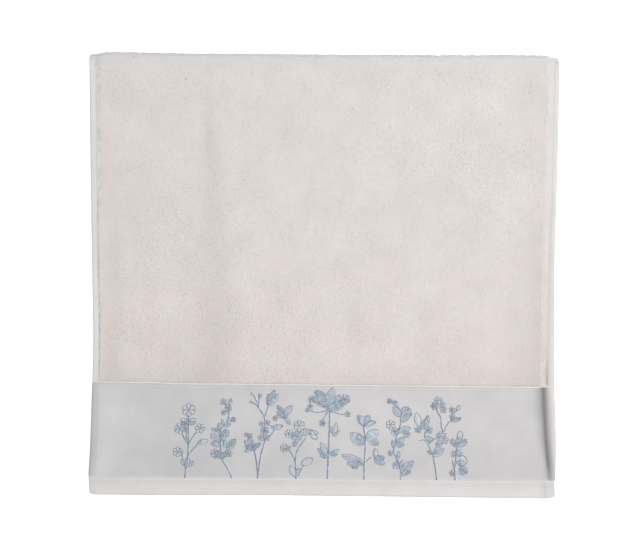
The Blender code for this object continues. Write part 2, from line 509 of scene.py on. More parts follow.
@dataclass(frozen=True)
class WeaveFinish:
    """Flat woven cotton: soft patches, slubs along both sets of threads, and the painted shade that the mesh
    stores.
    """

    name: str
    pale: Colour
    deep: Colour
    shaded: Colour
    patch_size: float = 26 * MM
    thread_size: float = 0.9 * MM
    slub_length: float = 9.0 * MM
    slub_share: float = 0.30
    thread_height: float = 0.10 * MM
    relief: float = 0.6
    roughness: float = 0.82
    sheen: float = 0.10

    def material(self) -> bpy.types.Material:
        """Makes the material, with its colour and thread relief worked out from the object's coordinates.

        Returns:
            The material.
        """
        kit = NodeKit(self.name, self.roughness, self.sheen, 0.5)
        fine, long = 1 / self.thread_size, 1 / self.slub_length
        warp = kit.noise((fine, long, long), 1.5)
        weft = kit.noise((long, fine, long), 1.5)
        threads = kit.maths("MULTIPLY", kit.maths("ADD", warp, weft), 0.5)
        patches = kit.contrast(kit.noise((1 / self.patch_size,) * 3, 2.0), 0.28, 0.72)
        slubs = kit.contrast(threads, 0.36, 0.64)
        amount = kit.maths(
            "ADD",
            kit.maths("MULTIPLY", patches, 1.0 - self.slub_share),
            kit.maths("MULTIPLY", slubs, self.slub_share),
        )
        cloth = kit.blend(amount, self.deep, self.pale)
        kit.feed(kit.blend(kit.attribute(SHADE), cloth, self.shaded), kit.shader.inputs["Base Color"])
        kit.raise_by(threads, self.thread_height, self.relief)
        return kit.material


@dataclass(frozen=True)
class ThreadFinish:
    """Smooth sewing thread. The mesh stores each stitch's tone, painted light included, and its lean towards
    violet.
    """

    name: str
    deep: Colour
    pale: Colour
    pale_violet: Colour
    patch_size: float = 4.0 * MM
    patch_share: float = 0.30
    roughness: float = 0.6
    sheen: float = 0.2

    def material(self) -> bpy.types.Material:
        """Makes the material, with its colour worked out from the stored tone and the object's coordinates.

        Returns:
            The material.
        """
        kit = NodeKit(self.name, self.roughness, self.sheen, 0.4)
        patches = kit.contrast(kit.noise((1 / self.patch_size,) * 3, 2.0))
        uneven = kit.maths("MULTIPLY", patches, self.patch_share)
        tone = kit.maths("SUBTRACT", kit.maths("ADD", uneven, kit.attribute(TONE)), self.patch_share / 2)
        pale = kit.blend(kit.attribute(TINT), self.pale, self.pale_violet)
        kit.feed(kit.blend(tone, self.deep, pale), kit.shader.inputs["Base Color"])
        return kit.material


@dataclass(frozen=True)
class Finishes:
    """Every finish of the towel."""

    pile: PileFinish = PileFinish(
        "terry_loops", *paints((216, 211, 209), (207, 202, 199), (211, 209, 209), (194, 185, 180),
                               (224, 211, 202), (215, 202, 192)))
    ground: PileFinish = PileFinish(
        "terry_ground", *paints((216, 209, 205), (208, 201, 197), (207, 205, 205), (193, 186, 182),
                                (218, 209, 203), (210, 201, 195)))
    # Left and right copies differ in the colour of their painted shade; the selvages also a little in tone.
    left_band: WeaveFinish = WeaveFinish(
        "satin_band_left", *paints((207, 205, 205), (196, 194, 194), (96, 112, 126)))
    right_band: WeaveFinish = WeaveFinish(
        "satin_band_right", *paints((207, 205, 205), (196, 194, 194), (113, 112, 114)))
    left_selvage: WeaveFinish = WeaveFinish(
        "selvage_left", *paints((219, 218, 217), (208, 207, 206), (146, 149, 152)), slub_share=0.5)
    right_selvage: WeaveFinish = WeaveFinish(
        "selvage_right", *paints((221, 218, 216), (210, 207, 205), (149, 145, 143)), slub_share=0.5)
    hem: WeaveFinish = WeaveFinish(
        "turned_hem", *paints((215, 212, 212), (206, 203, 202), (150, 153, 157)), slub_share=0.5)
    pale_cord: WeaveFinish = WeaveFinish(
        "pale_cord", *paints((226, 222, 219), (217, 213, 210), (150, 148, 148)), slub_share=0.6)
    band_cord: WeaveFinish = WeaveFinish(
        "band_cord", *paints((207, 205, 205), (197, 196, 196), (130, 130, 132)), slub_share=0.6)
    seam: ThreadFinish = ThreadFinish(
        "seam_thread", *paints((206, 204, 202), (216, 214, 212), (215, 213, 213)))
    outline: ThreadFinish = ThreadFinish(
        "outline_thread", *paints((113, 121, 131), (182, 193, 202), (188, 190, 206)))
    filling: ThreadFinish = ThreadFinish(
        "filling_thread", *paints((144, 161, 177), (211, 231, 241), (217, 219, 245)))


# ---------------------------------------------------------------- the cloth's shape


class Run(NamedTuple):
    """A stretch of one weave along the cloth, with the thickness that it ends on."""

    name: str
    length: float
    steps: int
    thickness: float


class Places(NamedTuple):
    """Places on the cloth, in metres: across, along the cloth, and inwards from the nearer long edge."""

    x: np.ndarray
    distance: np.ndarray
    inset: np.ndarray


class Bow(NamedTuple):
    """Where a cross line bows off its lean, fully from x_full outwards, over the reach. In millimetres."""

    y: float
    reach: float
    x_start: float
    x_full: float
    rise: float


class Crease(NamedTuple):
    """A soft trough or swell from one place on the cloth to another. Widths and rise are in millimetres."""

    x_far: float
    y_far: float
    x_near: float
    y_near: float
    half_far: float
    half_near: float
    rise: float


@dataclass(frozen=True)
class EdgeTable:
    """Both long edges of one half of the cloth: rows of place along Y, left and right edge, in millimetres."""

    rows: tuple[tuple[float, float, float], ...]

    def read(self, y: np.ndarray) -> tuple[np.ndarray, np.ndarray]:
        """The two edges on a smooth curve through the rows.

        Args:
            y: places along the cloth, in metres.

        Returns:
            The left and the right edge, in metres.
        """
        table = np.array(self.rows) * MM
        at = table[:, 0]
        held = np.clip(y, at[0], at[-1])
        low = np.clip(np.searchsorted(at, held, side="right") - 1, 0, len(at) - 2)
        before = np.maximum(np.arange(len(at)) - 1, 0)
        behind = np.minimum(np.arange(len(at)) + 1, len(at) - 1)
        span = at[low + 1] - at[low]
        part = (held - at[low]) / span
        edges = []
        for column in (1, 2):
            value = table[:, column]
            slope = (value[behind] - value[before]) / (at[behind] - at[before])
            lean_low = part * (1.0 - part) ** 2 * slope[low] * span
            lean_high = part * part * (part - 1.0) * slope[low + 1] * span
            edges.append(mixed(value[low], value[low + 1], eased(part)) + lean_low + lean_high)
        return edges[0], edges[1]


@dataclass(frozen=True)
class ClothShape:
    """Where the folded cloth lies: the same sizes and rules as its solid, read at any place at once.

    A place is given by its distance along the cloth from the front hem's edge, over the fold and along the back
    half, and by its place across.
    """

    hem_edge_y: float = -237.3 * MM
    fold_crown_y: float = 236.9 * MM
    back_end_y: float = -218.6 * MM
    terry: float = 4.0 * MM
    band: float = 1.6 * MM
    hem: float = 3.2 * MM
    selvage: float = 2.0 * MM
    rounded_edge: float = 2.0 * MM
    selvage_width: float = 6.4 * MM
    pile_shoulder: float = 1.4 * MM
    hem_shoulder: float = 7.0 * MM
    fold_radius: float = 4.4 * MM
    fold_rise_reach: float = 26.0 * MM
    selvage_droop: float = 0.6 * MM
    droop_reach: float = 8.0 * MM
    droop_full_from_hem: float = 78.0 * MM
    corner_rounding: float = 1.6 * MM
    left_corner: Fade = Fade(18 * MM, 8 * MM, 1.3 * MM)
    right_corner: Fade = Fade(12 * MM, 4 * MM, 1.5 * MM)
    corner_start: Fade = Fade(-22 * MM, -6 * MM)
    bare_left: Fade = Fade(50 * MM, 110 * MM, 2.6 * MM)
    covered_right: Fade = Fade(50 * MM, -40 * MM, 5.6 * MM)
    pile_slope: float = 1.2 * MM
    # Painted shade on the front pile: in crease troughs, along the sharp crease and on the slope to the band.
    trough_shade: float = 0.3
    sharp_across: Mound = Mound(0.0, 1.7 * MM, 0.4)
    sharp_along: Mound = Mound(0.06, 0.09)
    slope_shade: Fade = Fade(30 * MM, 0.0, 0.26)
    # Broad painted shade on the pile: beside the long crease, right of the middle, at the right edge, low down.
    crease_middle: Fade = Fade(60 * MM, -60 * MM, -133 * MM, -146 * MM)
    crease_half: Fade = Fade(60 * MM, -60 * MM, 26 * MM, 18 * MM)
    crease_depth: Fade = Fade(60 * MM, -60 * MM, 0.21, 0.12)
    crease_end: Fade = Fade(150 * MM, 120 * MM)
    middle_shade_across: Mound = Mound(38 * MM, 34 * MM, 0.19)
    middle_shade_along: Mound = Mound(-25 * MM, 48 * MM)
    right_depth: Fade = Fade(60 * MM, -80 * MM, 0.26, 0.12)
    right_reach: Fade = Fade(64 * MM, 20 * MM)
    outer_depth: Fade = Fade(60 * MM, 140 * MM, 0.10, 0.04)
    low_down: Fade = Fade(-20 * MM, -80 * MM)
    # Where the grey painted shade round the fold starts and ends, and how uneven its border is.
    grey_shade_wobble: float = 1.6 * MM
    grey_shade_start: Fade = Fade(-12 * MM, 0.0)
    grey_shade_end: Fade = Fade(3 * MM, -1 * MM)
    # The painted shadow line where the front half's right edge lies on the back one, by Y in millimetres.
    contact_line: Table = (
        (-112.0, 0.72), (-100.0, 0.56), (-88.0, 0.38), (-60.0, 0.26), (20.0, 0.14), (80.0, 0.04), (120.0, 0.0),
    )
    skew_at_fold: float = 0.0072
    skew_at_hem: float = 0.0118
    bows: tuple[Bow, ...] = (
        Bow(236.9, 40.0, -140.0, -225.0, 0.9),
        Bow(236.9, 40.0, 110.0, 215.0, 0.8),
        Bow(-119.0, 34.0, -150.0, -195.0, 1.0),
        Bow(-237.3, 40.0, -50.0, -230.0, -1.4),
    )
    crease_fade: float = 24.0 * MM
    front_runs: tuple[Run, ...] = (
        Run("rounded hem edge", 1.0 * MM, 3, 3.2 * MM),
        Run("hem", 17.2 * MM, 12, 3.2 * MM),
        Run("step down to the band", 0.8 * MM, 3, 1.6 * MM),
        Run("flat woven band", 95.2 * MM, 44, 1.6 * MM),
        Run("lower cord, rising", 1.0 * MM, 3, 2.2 * MM),
        Run("lower cord, falling", 1.0 * MM, 3, 1.6 * MM),
        Run("between the cords", 2.2 * MM, 3, 1.6 * MM),
        Run("upper cord, rising", 0.8 * MM, 3, 2.6 * MM),
        Run("upper cord, falling", 0.8 * MM, 3, 1.6 * MM),
        Run("edge of the pile", 1.2 * MM, 3, 4.0 * MM),
    )
    back_runs: tuple[Run, ...] = (
        Run("edge of the pile", 1.2 * MM, 3, 3.2 * MM),
        Run("hem", 17.0 * MM, 6, 3.2 * MM),
        Run("rounded hem edge", 1.0 * MM, 3, 2.0 * MM),
    )
    front_rest: Table = (
        (0.0, 1.6), (3.0, 1.7), (18.6, 4.6), (28.0, 5.1), (38.0, 5.6), (96.0, 5.9), (119.4, 7.1), (140.0, 7.5),
    )
    front_edges: EdgeTable = EdgeTable((
        (-237.3, -251.6, 247.3), (-230.5, -252.1, 247.5), (-214.4, -252.6, 246.0), (-193.0, -251.2, 243.8),
        (-160.8, -250.0, 241.7), (-128.6, -248.9, 240.1), (-107.0, -248.0, 239.6), (-66.0, -247.4, 240.6),
        (-5.2, -248.3, 241.7), (80.6, -249.7, 244.4), (177.2, -250.9, 246.5), (230.8, -251.2, 247.8),
    ))
    back_edges: EdgeTable = EdgeTable((
        (-218.6, -246.8, 248.2), (-177.0, -246.0, 248.9), (-112.0, -245.0, 247.3), (32.4, -245.8, 247.7),
        (80.6, -246.5, 249.4), (177.2, -247.5, 251.9), (230.8, -248.0, 252.6),
    ))
    creases: tuple[Crease, ...] = (
        Crease(-125.0, 165.0, -115.0, -95.0, 7.0, 24.0, -1.0),
        Crease(-227.0, 27.0, -229.0, -95.0, 10.0, 12.0, -0.9),
        Crease(224.0, 38.0, 229.0, -98.0, 9.0, 10.0, -1.0),
        Crease(32.5, -53.0, 30.5, -86.0, 10.0, 11.0, -0.7),
        Crease(105.0, -48.0, 108.0, -82.0, 12.0, 13.0, -0.7),
        Crease(-28.0, -10.0, -24.0, -95.0, 34.0, 40.0, 1.2),
        Crease(165.0, 150.0, 170.0, -60.0, 30.0, 36.0, 0.8),
        Crease(-178.0, 120.0, -175.0, -70.0, 26.0, 30.0, 0.7),
    )

    @property
    def turn_start_y(self) -> float:
        """Where the front half ends and the fold begins."""
        return self.fold_crown_y - self.fold_radius - self.terry / 2

    @property
    def hem_end(self) -> float:
        """The distance along the cloth at which the front hem ends."""
        return self.end_of("hem")

    @property
    def pile_start(self) -> float:
        """The distance along the cloth at which the front pile has its full height."""
        return sum(run.length for run in self.front_runs)

    @property
    def turn_start(self) -> float:
        """The distance along the cloth at which the fold begins."""
        return self.turn_start_y - self.hem_edge_y

    @property
    def turn_end(self) -> float:
        """The distance along the cloth at which the fold ends."""
        return self.turn_start + math.pi * self.fold_radius

    @property
    def back_pile_end(self) -> float:
        """The distance along the cloth at which the back pile ends."""
        return self.whole - sum(run.length for run in self.back_runs)

    @property
    def whole(self) -> float:
        """The cloth's whole length."""
        return self.turn_end + self.turn_start_y - self.back_end_y

    def end_of(self, run_name: str) -> float:
        """The distance along the cloth at which the front half's run of that name ends."""
        names = [run.name for run in self.front_runs]
        return sum(run.length for run in self.front_runs[: names.index(run_name) + 1])

    @property
    def centring(self) -> float:
        """How far the solid was moved along Y to centre it."""
        left, _ = self.edges(np.array([self.turn_start + self.fold_radius * math.pi / 2]))
        highest = left + self.selvage_width + self.pile_shoulder
        return float(CAD_HIGH.y - self.skewed(highest, self.fold_crown_y)[0])

    def skewed(self, x: np.ndarray | float, y: np.ndarray | float) -> np.ndarray | float:
        """Y after the cloth's lean, which grows from the fold to the hem, and its bows.

        Args:
            x: places across.
            y: places along Y before the lean.

        Returns:
            Places along Y.
        """
        towards_hem = (self.fold_crown_y - y) / (self.fold_crown_y - self.hem_edge_y)
        leaning = y - x * mixed(self.skew_at_fold, self.skew_at_hem, towards_hem)
        for bow in self.bows:
            outwards = eased((x / MM - bow.x_start) / (bow.x_full - bow.x_start))
            leaning = leaning + bow.rise * MM * outwards * np.exp(-(((y / MM - bow.y) / bow.reach) ** 2))
        return leaning

    def turned(self, distance: np.ndarray) -> np.ndarray:
        """How far round the fold each place is, from 0 on the front half to 1 on the back half."""
        return np.clip((distance - self.turn_start) / (self.turn_end - self.turn_start), 0.0, 1.0)

    def flat_y(self, distance: np.ndarray) -> np.ndarray:
        """Y of the middle plane before the lean.

        Args:
            distance: places along the cloth.

        Returns:
            Y on the front half, round the fold, and on the back half.
        """
        front = self.hem_edge_y + np.minimum(distance, self.turn_start)
        back = self.turn_start_y - np.maximum(distance - self.turn_end, 0.0)
        turned = self.turned(distance)
        fold = self.turn_start_y + self.fold_radius * np.sin(math.pi * turned)
        return np.where(turned <= 0.0, front, np.where(turned >= 1.0, back, fold))

    def edges(self, distance: np.ndarray) -> tuple[np.ndarray, np.ndarray]:
        """The two long edges at each place along the cloth.

        Args:
            distance: places along the cloth.

        Returns:
            The left and the right edge, in metres.
        """
        turned = self.turned(distance)
        y = np.minimum(self.flat_y(distance), self.turn_start_y)
        front, back = self.front_edges.read(y), self.back_edges.read(y)
        return mixed(front[0], back[0], turned), mixed(front[1], back[1], turned)

    def thickness(self, distance: np.ndarray) -> np.ndarray:
        """The cloth's thickness inside its selvages.

        Args:
            distance: places along the cloth.

        Returns:
            The thickness, eased from one weave to the next.
        """
        stops, values = [0.0], [self.rounded_edge]
        for run in self.front_runs:
            stops.append(stops[-1] + run.length)
            values.append(run.thickness)
        stops.append(self.back_pile_end)
        values.append(self.terry)
        for run in self.back_runs:
            stops.append(stops[-1] + run.length)
            values.append(run.thickness)
        return eased_table(np.array(stops), np.array(values), distance)

    def resting_height(self, distance: np.ndarray) -> np.ndarray:
        """The height of the front half's middle plane by its distance from the hemmed edge."""
        return eased_table(*(np.array(self.front_rest) * MM).T, distance)

    def crease_rise(self, x: np.ndarray, y: np.ndarray) -> np.ndarray:
        """How far the creases lift the front half.

        Args:
            x: places across.
            y: places along Y before the lean.

        Returns:
            The rise, below 0 in a trough.
        """
        rise = np.zeros(np.broadcast(x, y).shape)
        for crease in self.creases:
            y_far, y_near = crease.y_far * MM, crease.y_near * MM
            along = np.clip((y - y_far) / (y_near - y_far), 0.0, 1.0)
            centre = mixed(crease.x_far, crease.x_near, along) * MM
            half = mixed(crease.half_far, crease.half_near, along) * MM
            past = np.maximum(np.maximum(y - y_far, y_near - y), 0.0) / self.crease_fade
            rise += crease.rise * MM * np.exp(-(((x - centre) / half) ** 2) - past * past)
        return rise

    def faces(self, at: Places, drop: float = 0.0) -> tuple[np.ndarray, np.ndarray, np.ndarray]:
        """The outer face, the inner face and the way out of the cloth.

        Args:
            at: the places.
            drop: how far the outer face's ground lies under the tips of the pile.

        Returns:
            The outer points, the inner points and the outward directions, with three numbers in the last axis.
        """
        x, distance, inset = at
        turned = self.turned(distance)
        front, back = turned <= 0.0, turned >= 1.0
        shoulder = np.where(distance < self.hem_end, self.hem_shoulder, self.pile_shoulder)
        on_selvage = eased((self.selvage_width + self.pile_shoulder - inset) / shoulder)
        body = self.thickness(distance)
        thickness = mixed(body, np.minimum(self.selvage, body), on_selvage)
        near_edge = np.maximum(0.0, 1.0 - inset / self.droop_reach)
        y = self.flat_y(distance)

        crown = self.terry / 2 + 2.0 * self.fold_radius
        flat = self.front_rest[-1][1] * MM
        reach = (self.turn_start_y - y) / self.fold_rise_reach
        free = eased(reach)
        lifted = eased((y - self.hem_edge_y) / self.droop_full_from_hem)
        on_front = self.resting_height(distance) + (crown - flat) * np.exp(-(reach**2))
        on_front = on_front + self.crease_rise(x, y) * free - self.selvage_droop * near_edge * lifted * free
        on_fold = self.terry / 2 + self.fold_radius * (1.0 + np.cos(math.pi * turned))
        height = np.where(front, on_front, np.where(back, thickness / 2, on_fold))

        from_hem = np.maximum(0.0, 1.0 - (y - self.hem_edge_y) / self.droop_reach)
        y = y + np.where(front, self.corner_rounding * near_edge**2 * from_hem, 0.0)
        y = y - self.drawn_in(x, y, inset)
        out_y = np.where(front | back, 0.0, np.sin(math.pi * turned))
        out_z = np.where(front, 1.0, np.where(back, -1.0, np.cos(math.pi * turned)))
        in_pile = eased((distance - self.pile_start + self.pile_shoulder) / self.pile_shoulder)
        in_pile = in_pile * (1.0 - eased((distance - self.turn_end + self.pile_shoulder) / self.pile_shoulder))
        lowered = thickness / 2 - drop * in_pile * (1.0 - on_selvage)
        y = self.skewed(x, y) + self.centring
        x = np.broadcast_to(x, height.shape)
        outer = np.stack((x, y + out_y * lowered, height + out_z * lowered), axis=-1)
        inner = np.stack((x, y - out_y * thickness / 2, height - out_z * thickness / 2), axis=-1)
        outward = np.stack((np.zeros_like(height), out_y + 0.0 * height, out_z + 0.0 * height), axis=-1)
        return outer, inner, outward

    def drawn_in(self, x: np.ndarray, y: np.ndarray, inset: np.ndarray) -> np.ndarray:
        """How far towards the hem the fold's two corners are drawn in, which the solid leaves square."""
        drawn = np.where(x < 0.0, self.left_corner.at(inset), self.right_corner.at(inset))
        return drawn * self.corner_start.at(y - self.fold_crown_y)

    def contact(self, y: np.ndarray) -> np.ndarray:
        """How dark the painted shadow is where the front half's right edge lies on the back one, at those Y."""
        return straight_table(self.contact_line, y)

    def left_margin(self, distance: np.ndarray) -> np.ndarray:
        """How much wider the left selvage lies bare towards the fold, in metres."""
        return self.bare_left.at(self.flat_y(distance))

    def right_cover(self, distance: np.ndarray) -> np.ndarray:
        """How much of the right selvage the pile covers towards the band, in metres."""
        return self.covered_right.at(self.flat_y(distance))

    def in_front_pile(self, distance: np.ndarray) -> np.ndarray:
        """Whether each place lies in the pile of the front half, its slope to the band included."""
        return (distance > self.pile_start - self.pile_slope) & (distance < self.turn_start)

    def pile_shade(self, at: Places) -> np.ndarray:
        """Painted shade on the front pile: in crease troughs, on the sharp crease, on the slope to the band.

        Args:
            at: the places.

        Returns:
            The shade, from 0 to 1.
        """
        y = self.flat_y(at.distance)
        trough = self.trough_shade * np.clip(-self.crease_rise(at.x, y) / MM, 0.0, 1.0)
        sharp = self.creases[0]
        along = (y / MM - sharp.y_far) / (sharp.y_near - sharp.y_far)
        centre = mixed(sharp.x_far, sharp.x_near, along) * MM
        line = self.sharp_across.at(at.x - centre) * self.sharp_along.at(along)
        slope = self.slope_shade.at(at.distance - self.pile_start)
        return np.where(self.in_front_pile(at.distance), np.clip(trough + line + slope, 0.0, 1.0), 0.0)

    def broad_pile_shade(self, at: Places) -> np.ndarray:
        """Painted shade on the pile beside the long crease, right of the middle, at the right edge, low down.

        Args:
            at: the places.

        Returns:
            The shade, from 0 to 1.
        """
        y = self.flat_y(at.distance)
        beside = np.exp(-(((at.x - self.crease_middle.at(y)) / self.crease_half.at(y)) ** 2))
        shade = self.crease_depth.at(y) * beside * self.crease_end.at(y)
        shade = shade + self.middle_shade_across.at(at.x) * self.middle_shade_along.at(y)
        shade = shade + self.right_depth.at(y) * self.right_reach.at(at.inset) * (at.x > 0.0)
        shade = shade + self.outer_depth.at(np.abs(at.x)) * self.low_down.at(y)
        return np.where(self.in_front_pile(at.distance), shade, 0.0)

    def grey_fold_shade(self, x: np.ndarray, distance: np.ndarray) -> np.ndarray:
        """How much grey painted shade lies round the fold, from 0 to 1, with an uneven border."""
        border = self.turn_start + self.grey_shade_wobble * GREY_SHADE_BORDER.at(x, 0.0 * x)
        return self.grey_shade_start.at(distance - border) * self.grey_shade_end.at(distance - self.turn_end)

    def on_band(self, x: np.ndarray, y: np.ndarray) -> np.ndarray:
        """The top of the band or hem at places given in the frame.

        Args:
            x: places across.
            y: places along Y in the frame.

        Returns:
            The points on the cloth's top face.
        """
        flat = y - self.centring
        for _ in range(3):
            flat = flat + (y - self.centring) - self.skewed(x, flat)
        distance = flat - self.hem_edge_y
        left, right = self.edges(distance)
        return self.faces(Places(x, distance, np.minimum(x - left, right - x)))[0]


SHAPE = ClothShape()


# ---------------------------------------------------------------- the cloth


class Zone(Enum):
    """The weaves of the cloth's surface, in the order of the material slots."""

    GROUND = 0
    HEM = 1
    # The left and right copies differ in the colour of their painted shade.
    LEFT_SELVAGE = 2
    RIGHT_SELVAGE = 3
    LEFT_BAND = 4
    RIGHT_BAND = 5


@dataclass
class Shades:
    """How much darker the woven cloth is at each place, mostly as painted shade and painted shadow."""

    shape: ClothShape = SHAPE
    edge_spots: SoftNoise = field(default_factory=lambda: SoftNoise(6, 5 * MM, 24 * MM))
    # Painted shade across the band's curled left and right edges, by millimetres from the edge.
    left_curl: Table = (
        (0.0, 0.38), (1.4, 0.34), (2.6, 0.23), (3.8, 0.17), (5.0, 0.15), (7.0, 0.13), (8.2, 0.08), (9.6, 0.02),
    )
    right_curl: Table = (
        (0.0, 0.42), (0.7, 0.50), (1.8, 0.71), (2.9, 0.81), (4.0, 0.90), (5.0, 0.84), (6.1, 0.62), (7.2, 0.50),
        (8.3, 0.37), (9.3, 0.28), (10.4, 0.21), (13.4, 0.08), (16.0, 0.0),
    )
    band_start: Fade = Fade(0.0, 2 * MM)
    band_close: Fade = Fade(0.0, -1.6 * MM)
    band_end_left: float = 3.0 * MM
    band_end_right: float = 1.2 * MM
    band_body: Fade = Fade(72 * MM, 22 * MM, 0.115, 0.065)
    band_dark_left: Mound = Mound(-140 * MM, 40 * MM, 0.06)
    band_dark_right: Fade = Fade(60 * MM, 120 * MM, 0.025)
    band_body_start: Fade = Fade(-236 * MM, -210 * MM)
    left_curl_depth: Fade = Fade(18 * MM, 68 * MM, 0.90, 1.22)
    right_curl_depth: Fade = Fade(0.0, 22 * MM, 0.94, 0.58)
    right_curl_rim: float = 4.0 * MM
    right_squeeze: Fade = Fade(15 * MM, 49 * MM, 1.0, 1.9)
    right_widening: Fade = Fade(56 * MM, 81 * MM, 0.15)
    # Painted shadow line at the foot of the upper cord.
    cord_foot: Mound = Mound(-3.4 * MM, 0.8 * MM)
    cord_foot_depth: Fade = Fade(-60 * MM, 60 * MM, 0.06, 0.15)
    # Painted shade on the front hem near its right end, above its seam and along its edge.
    hem_end_shade: Mound = Mound(10 * MM, 3.6 * MM, 0.24)
    hem_corner: Fade = Fade(7.5 * MM, 4.5 * MM, 0.12)
    above_seam: Fade = Fade(8.5 * MM, 4.5 * MM, 0.12)
    hem_lip: Fade = Fade(1.8 * MM, 0.0, 0.22)
    hem_left_lip: Fade = Fade(1.5 * MM, 0.0, 0.12)
    hem_close: Fade = Fade(0.0, 1 * MM)
    # Painted shade on the right rims, and the painted shadow of the front half's edge on the back one.
    rim: Fade = Fade(1.6 * MM, 0.0, 0.30)
    hem_rim_share: float = 1.2
    pile_rim_share: float = 0.5
    back_rim_share: float = 0.2
    bare_selvage: Fade = Fade(8.2 * MM, 6.7 * MM, 0.15)
    contact_reach: Fade = Fade(3.8 * MM, 1.4 * MM)
    terry_start: Fade = Fade(-1.2 * MM, 0.8 * MM)
    beside_reach: float = 6.5 * MM
    beside_band: Fade = Fade(-118 * MM, -124 * MM)
    contact_share: float = 0.9
    contact_fall: float = 2.5
    back_beside_band: float = 0.12
    band_contact: float = 0.54
    band_contact_fall: float = 1.4
    back_layer: Fade = Fade(90 * MM, -60 * MM, 0.13, 0.09)
    # Painted shade on the left rim and on the selvage's end at the fold.
    left_rim: Fade = Fade(1.7 * MM, 0.0, 0.18)
    selvage_bend: Fade = Fade(-2.6 * MM, -1.4 * MM, 0.17)
    selvage_end: Fade = Fade(2.4 * MM, 3.8 * MM, 0.55)
    selvage_end_reach: Fade = Fade(12 * MM, 8 * MM)
    # Painted shadow in the uneven line between a selvage and the pile.
    pile_edge: Mound = Mound(7.3 * MM, 1.2 * MM)
    pile_edge_left: Fade = Fade(130 * MM, 210 * MM, 0.95, 0.30)
    pile_edge_right: float = 0.3195
    pile_edge_uneven: tuple[float, float] = (0.70, 0.40)

    def whole(self, at: Places) -> np.ndarray:
        """The whole painted shade, the darkest of them all at each place.

        Args:
            at: the places.

        Returns:
            The shade, from 0 to 1.
        """
        shape = self.shape
        pile_shade = (shape.pile_shade(at) + shape.broad_pile_shade(at)) * (at.inset > shape.selvage_width)
        shades = [part(at) for part in (self.band, self.hem, self.right_side, self.left_side, self.beside_pile)]
        return np.clip(np.maximum.reduce([pile_shade, *shades]), 0.0, 1.0)

    def band(self, at: Places) -> np.ndarray:
        """How much darker the band is: a little in its body, most along its edges as painted shade of their
        curl.

        Args:
            at: the places.

        Returns:
            The shade, from 0 to 1.
        """
        above_hem = at.distance - self.shape.hem_end
        on_left = at.x < 0.0
        band_end = self.shape.pile_start - np.where(on_left, self.band_end_left, self.band_end_right)
        in_band = self.band_start.at(above_hem) * self.band_close.at(at.distance - band_end)
        body = self.band_body.at(above_hem) + self.band_dark_left.at(at.x) + self.band_dark_right.at(at.x)
        body = body * self.band_body_start.at(at.x)
        left_strip = straight_table(self.left_curl, at.inset) * self.left_curl_depth.at(above_hem)
        squeeze = self.right_squeeze.at(above_hem) - self.right_widening.at(above_hem)
        past = np.maximum(at.inset - self.right_curl_rim, 0.0)
        from_edge = np.minimum(at.inset, self.right_curl_rim) + past * squeeze
        right_strip = self.right_curl_depth.at(above_hem) * straight_table(self.right_curl, from_edge)
        foot_line = self.cord_foot_depth.at(at.x) * self.cord_foot.at(at.distance - self.shape.pile_start)
        return in_band * np.clip(body + np.where(on_left, left_strip, right_strip), 0.0, 1.0) + foot_line

    def hem(self, at: Places) -> np.ndarray:
        """The painted shade on the front hem: above its seam, along its edge and near its right end.

        Args:
            at: the places.

        Returns:
            The shade, from 0 to 1.
        """
        to_band = self.shape.hem_end - at.distance
        dent = (self.hem_end_shade.at(at.inset) + self.hem_corner.at(at.inset)) * (at.x > 0.0)
        lip = self.hem_lip.at(at.distance) + self.hem_left_lip.at(at.inset) * (at.x < 0.0)
        return np.clip(dent + self.above_seam.at(to_band) + lip, 0.0, 1.0) * self.hem_close.at(to_band)

    def right_side(self, at: Places) -> np.ndarray:
        """Painted shade on the right side, where both layers turn away, and the shadow of one on the other.

        Args:
            at: the places.

        Returns:
            The shade, from 0 to 1.
        """
        shape = self.shape
        y = shape.flat_y(at.distance)
        contact = shape.contact(y)
        rim = self.rim.at(at.inset)

        covered = shape.right_cover(at.distance) / shape.covered_right.high
        selvage = (1.0 - covered) * self.bare_selvage.at(at.inset)
        line = contact * self.contact_reach.at(at.inset)
        in_terry = self.terry_start.at(at.distance - shape.pile_start)
        front = in_terry * (selvage + line + self.pile_rim_share * rim)
        front = front + self.hem_rim_share * rim * (at.distance < shape.hem_end)

        _, front_right = shape.front_edges.read(y)
        beside = np.clip(1.0 - (at.x - front_right) / self.beside_reach, 0.0, 1.0)
        beside_pile = self.back_layer.at(y) + self.contact_share * contact * beside**self.contact_fall
        beside_band = self.back_beside_band + self.band_contact * beside**self.band_contact_fall
        back = mixed(beside_pile, beside_band, self.beside_band.at(y)) + self.back_rim_share * rim
        return np.where(shape.turned(at.distance) >= 1.0, back, front) * (at.x > 0.0)

    def left_side(self, at: Places) -> np.ndarray:
        """The painted shade on the left edge's rim and on the selvage's end at the fold.

        Args:
            at: the places.

        Returns:
            The shade, from 0 to 1.
        """
        rim = self.left_rim.at(at.inset) * (at.distance > self.shape.pile_start)
        over = self.shape.flat_y(at.distance) - self.shape.turn_start_y
        end = self.selvage_bend.at(over) + self.selvage_end.at(over)
        return (rim + end * self.selvage_end_reach.at(at.inset)) * (at.x < 0.0)

    def beside_pile(self, at: Places) -> np.ndarray:
        """The painted shadow on the ground in the uneven line between a selvage and the pile.

        Args:
            at: the places.

        Returns:
            The shade, from 0 to 1.
        """
        shape, on_left = self.shape, at.x < 0.0
        on_front = (at.distance > shape.pile_start) & (shape.turned(at.distance) < 1.0)
        line = self.pile_edge.at(at.inset - shape.left_margin(at.distance) * on_left)
        depth = np.where(on_left, self.pile_edge_left.at(shape.flat_y(at.distance)), self.pile_edge_right)
        uneven = np.where(on_left, *self.pile_edge_uneven) * self.edge_spots.at(at.x, at.distance)
        return on_front * line * np.clip(depth + uneven, 0.0, 1.0)


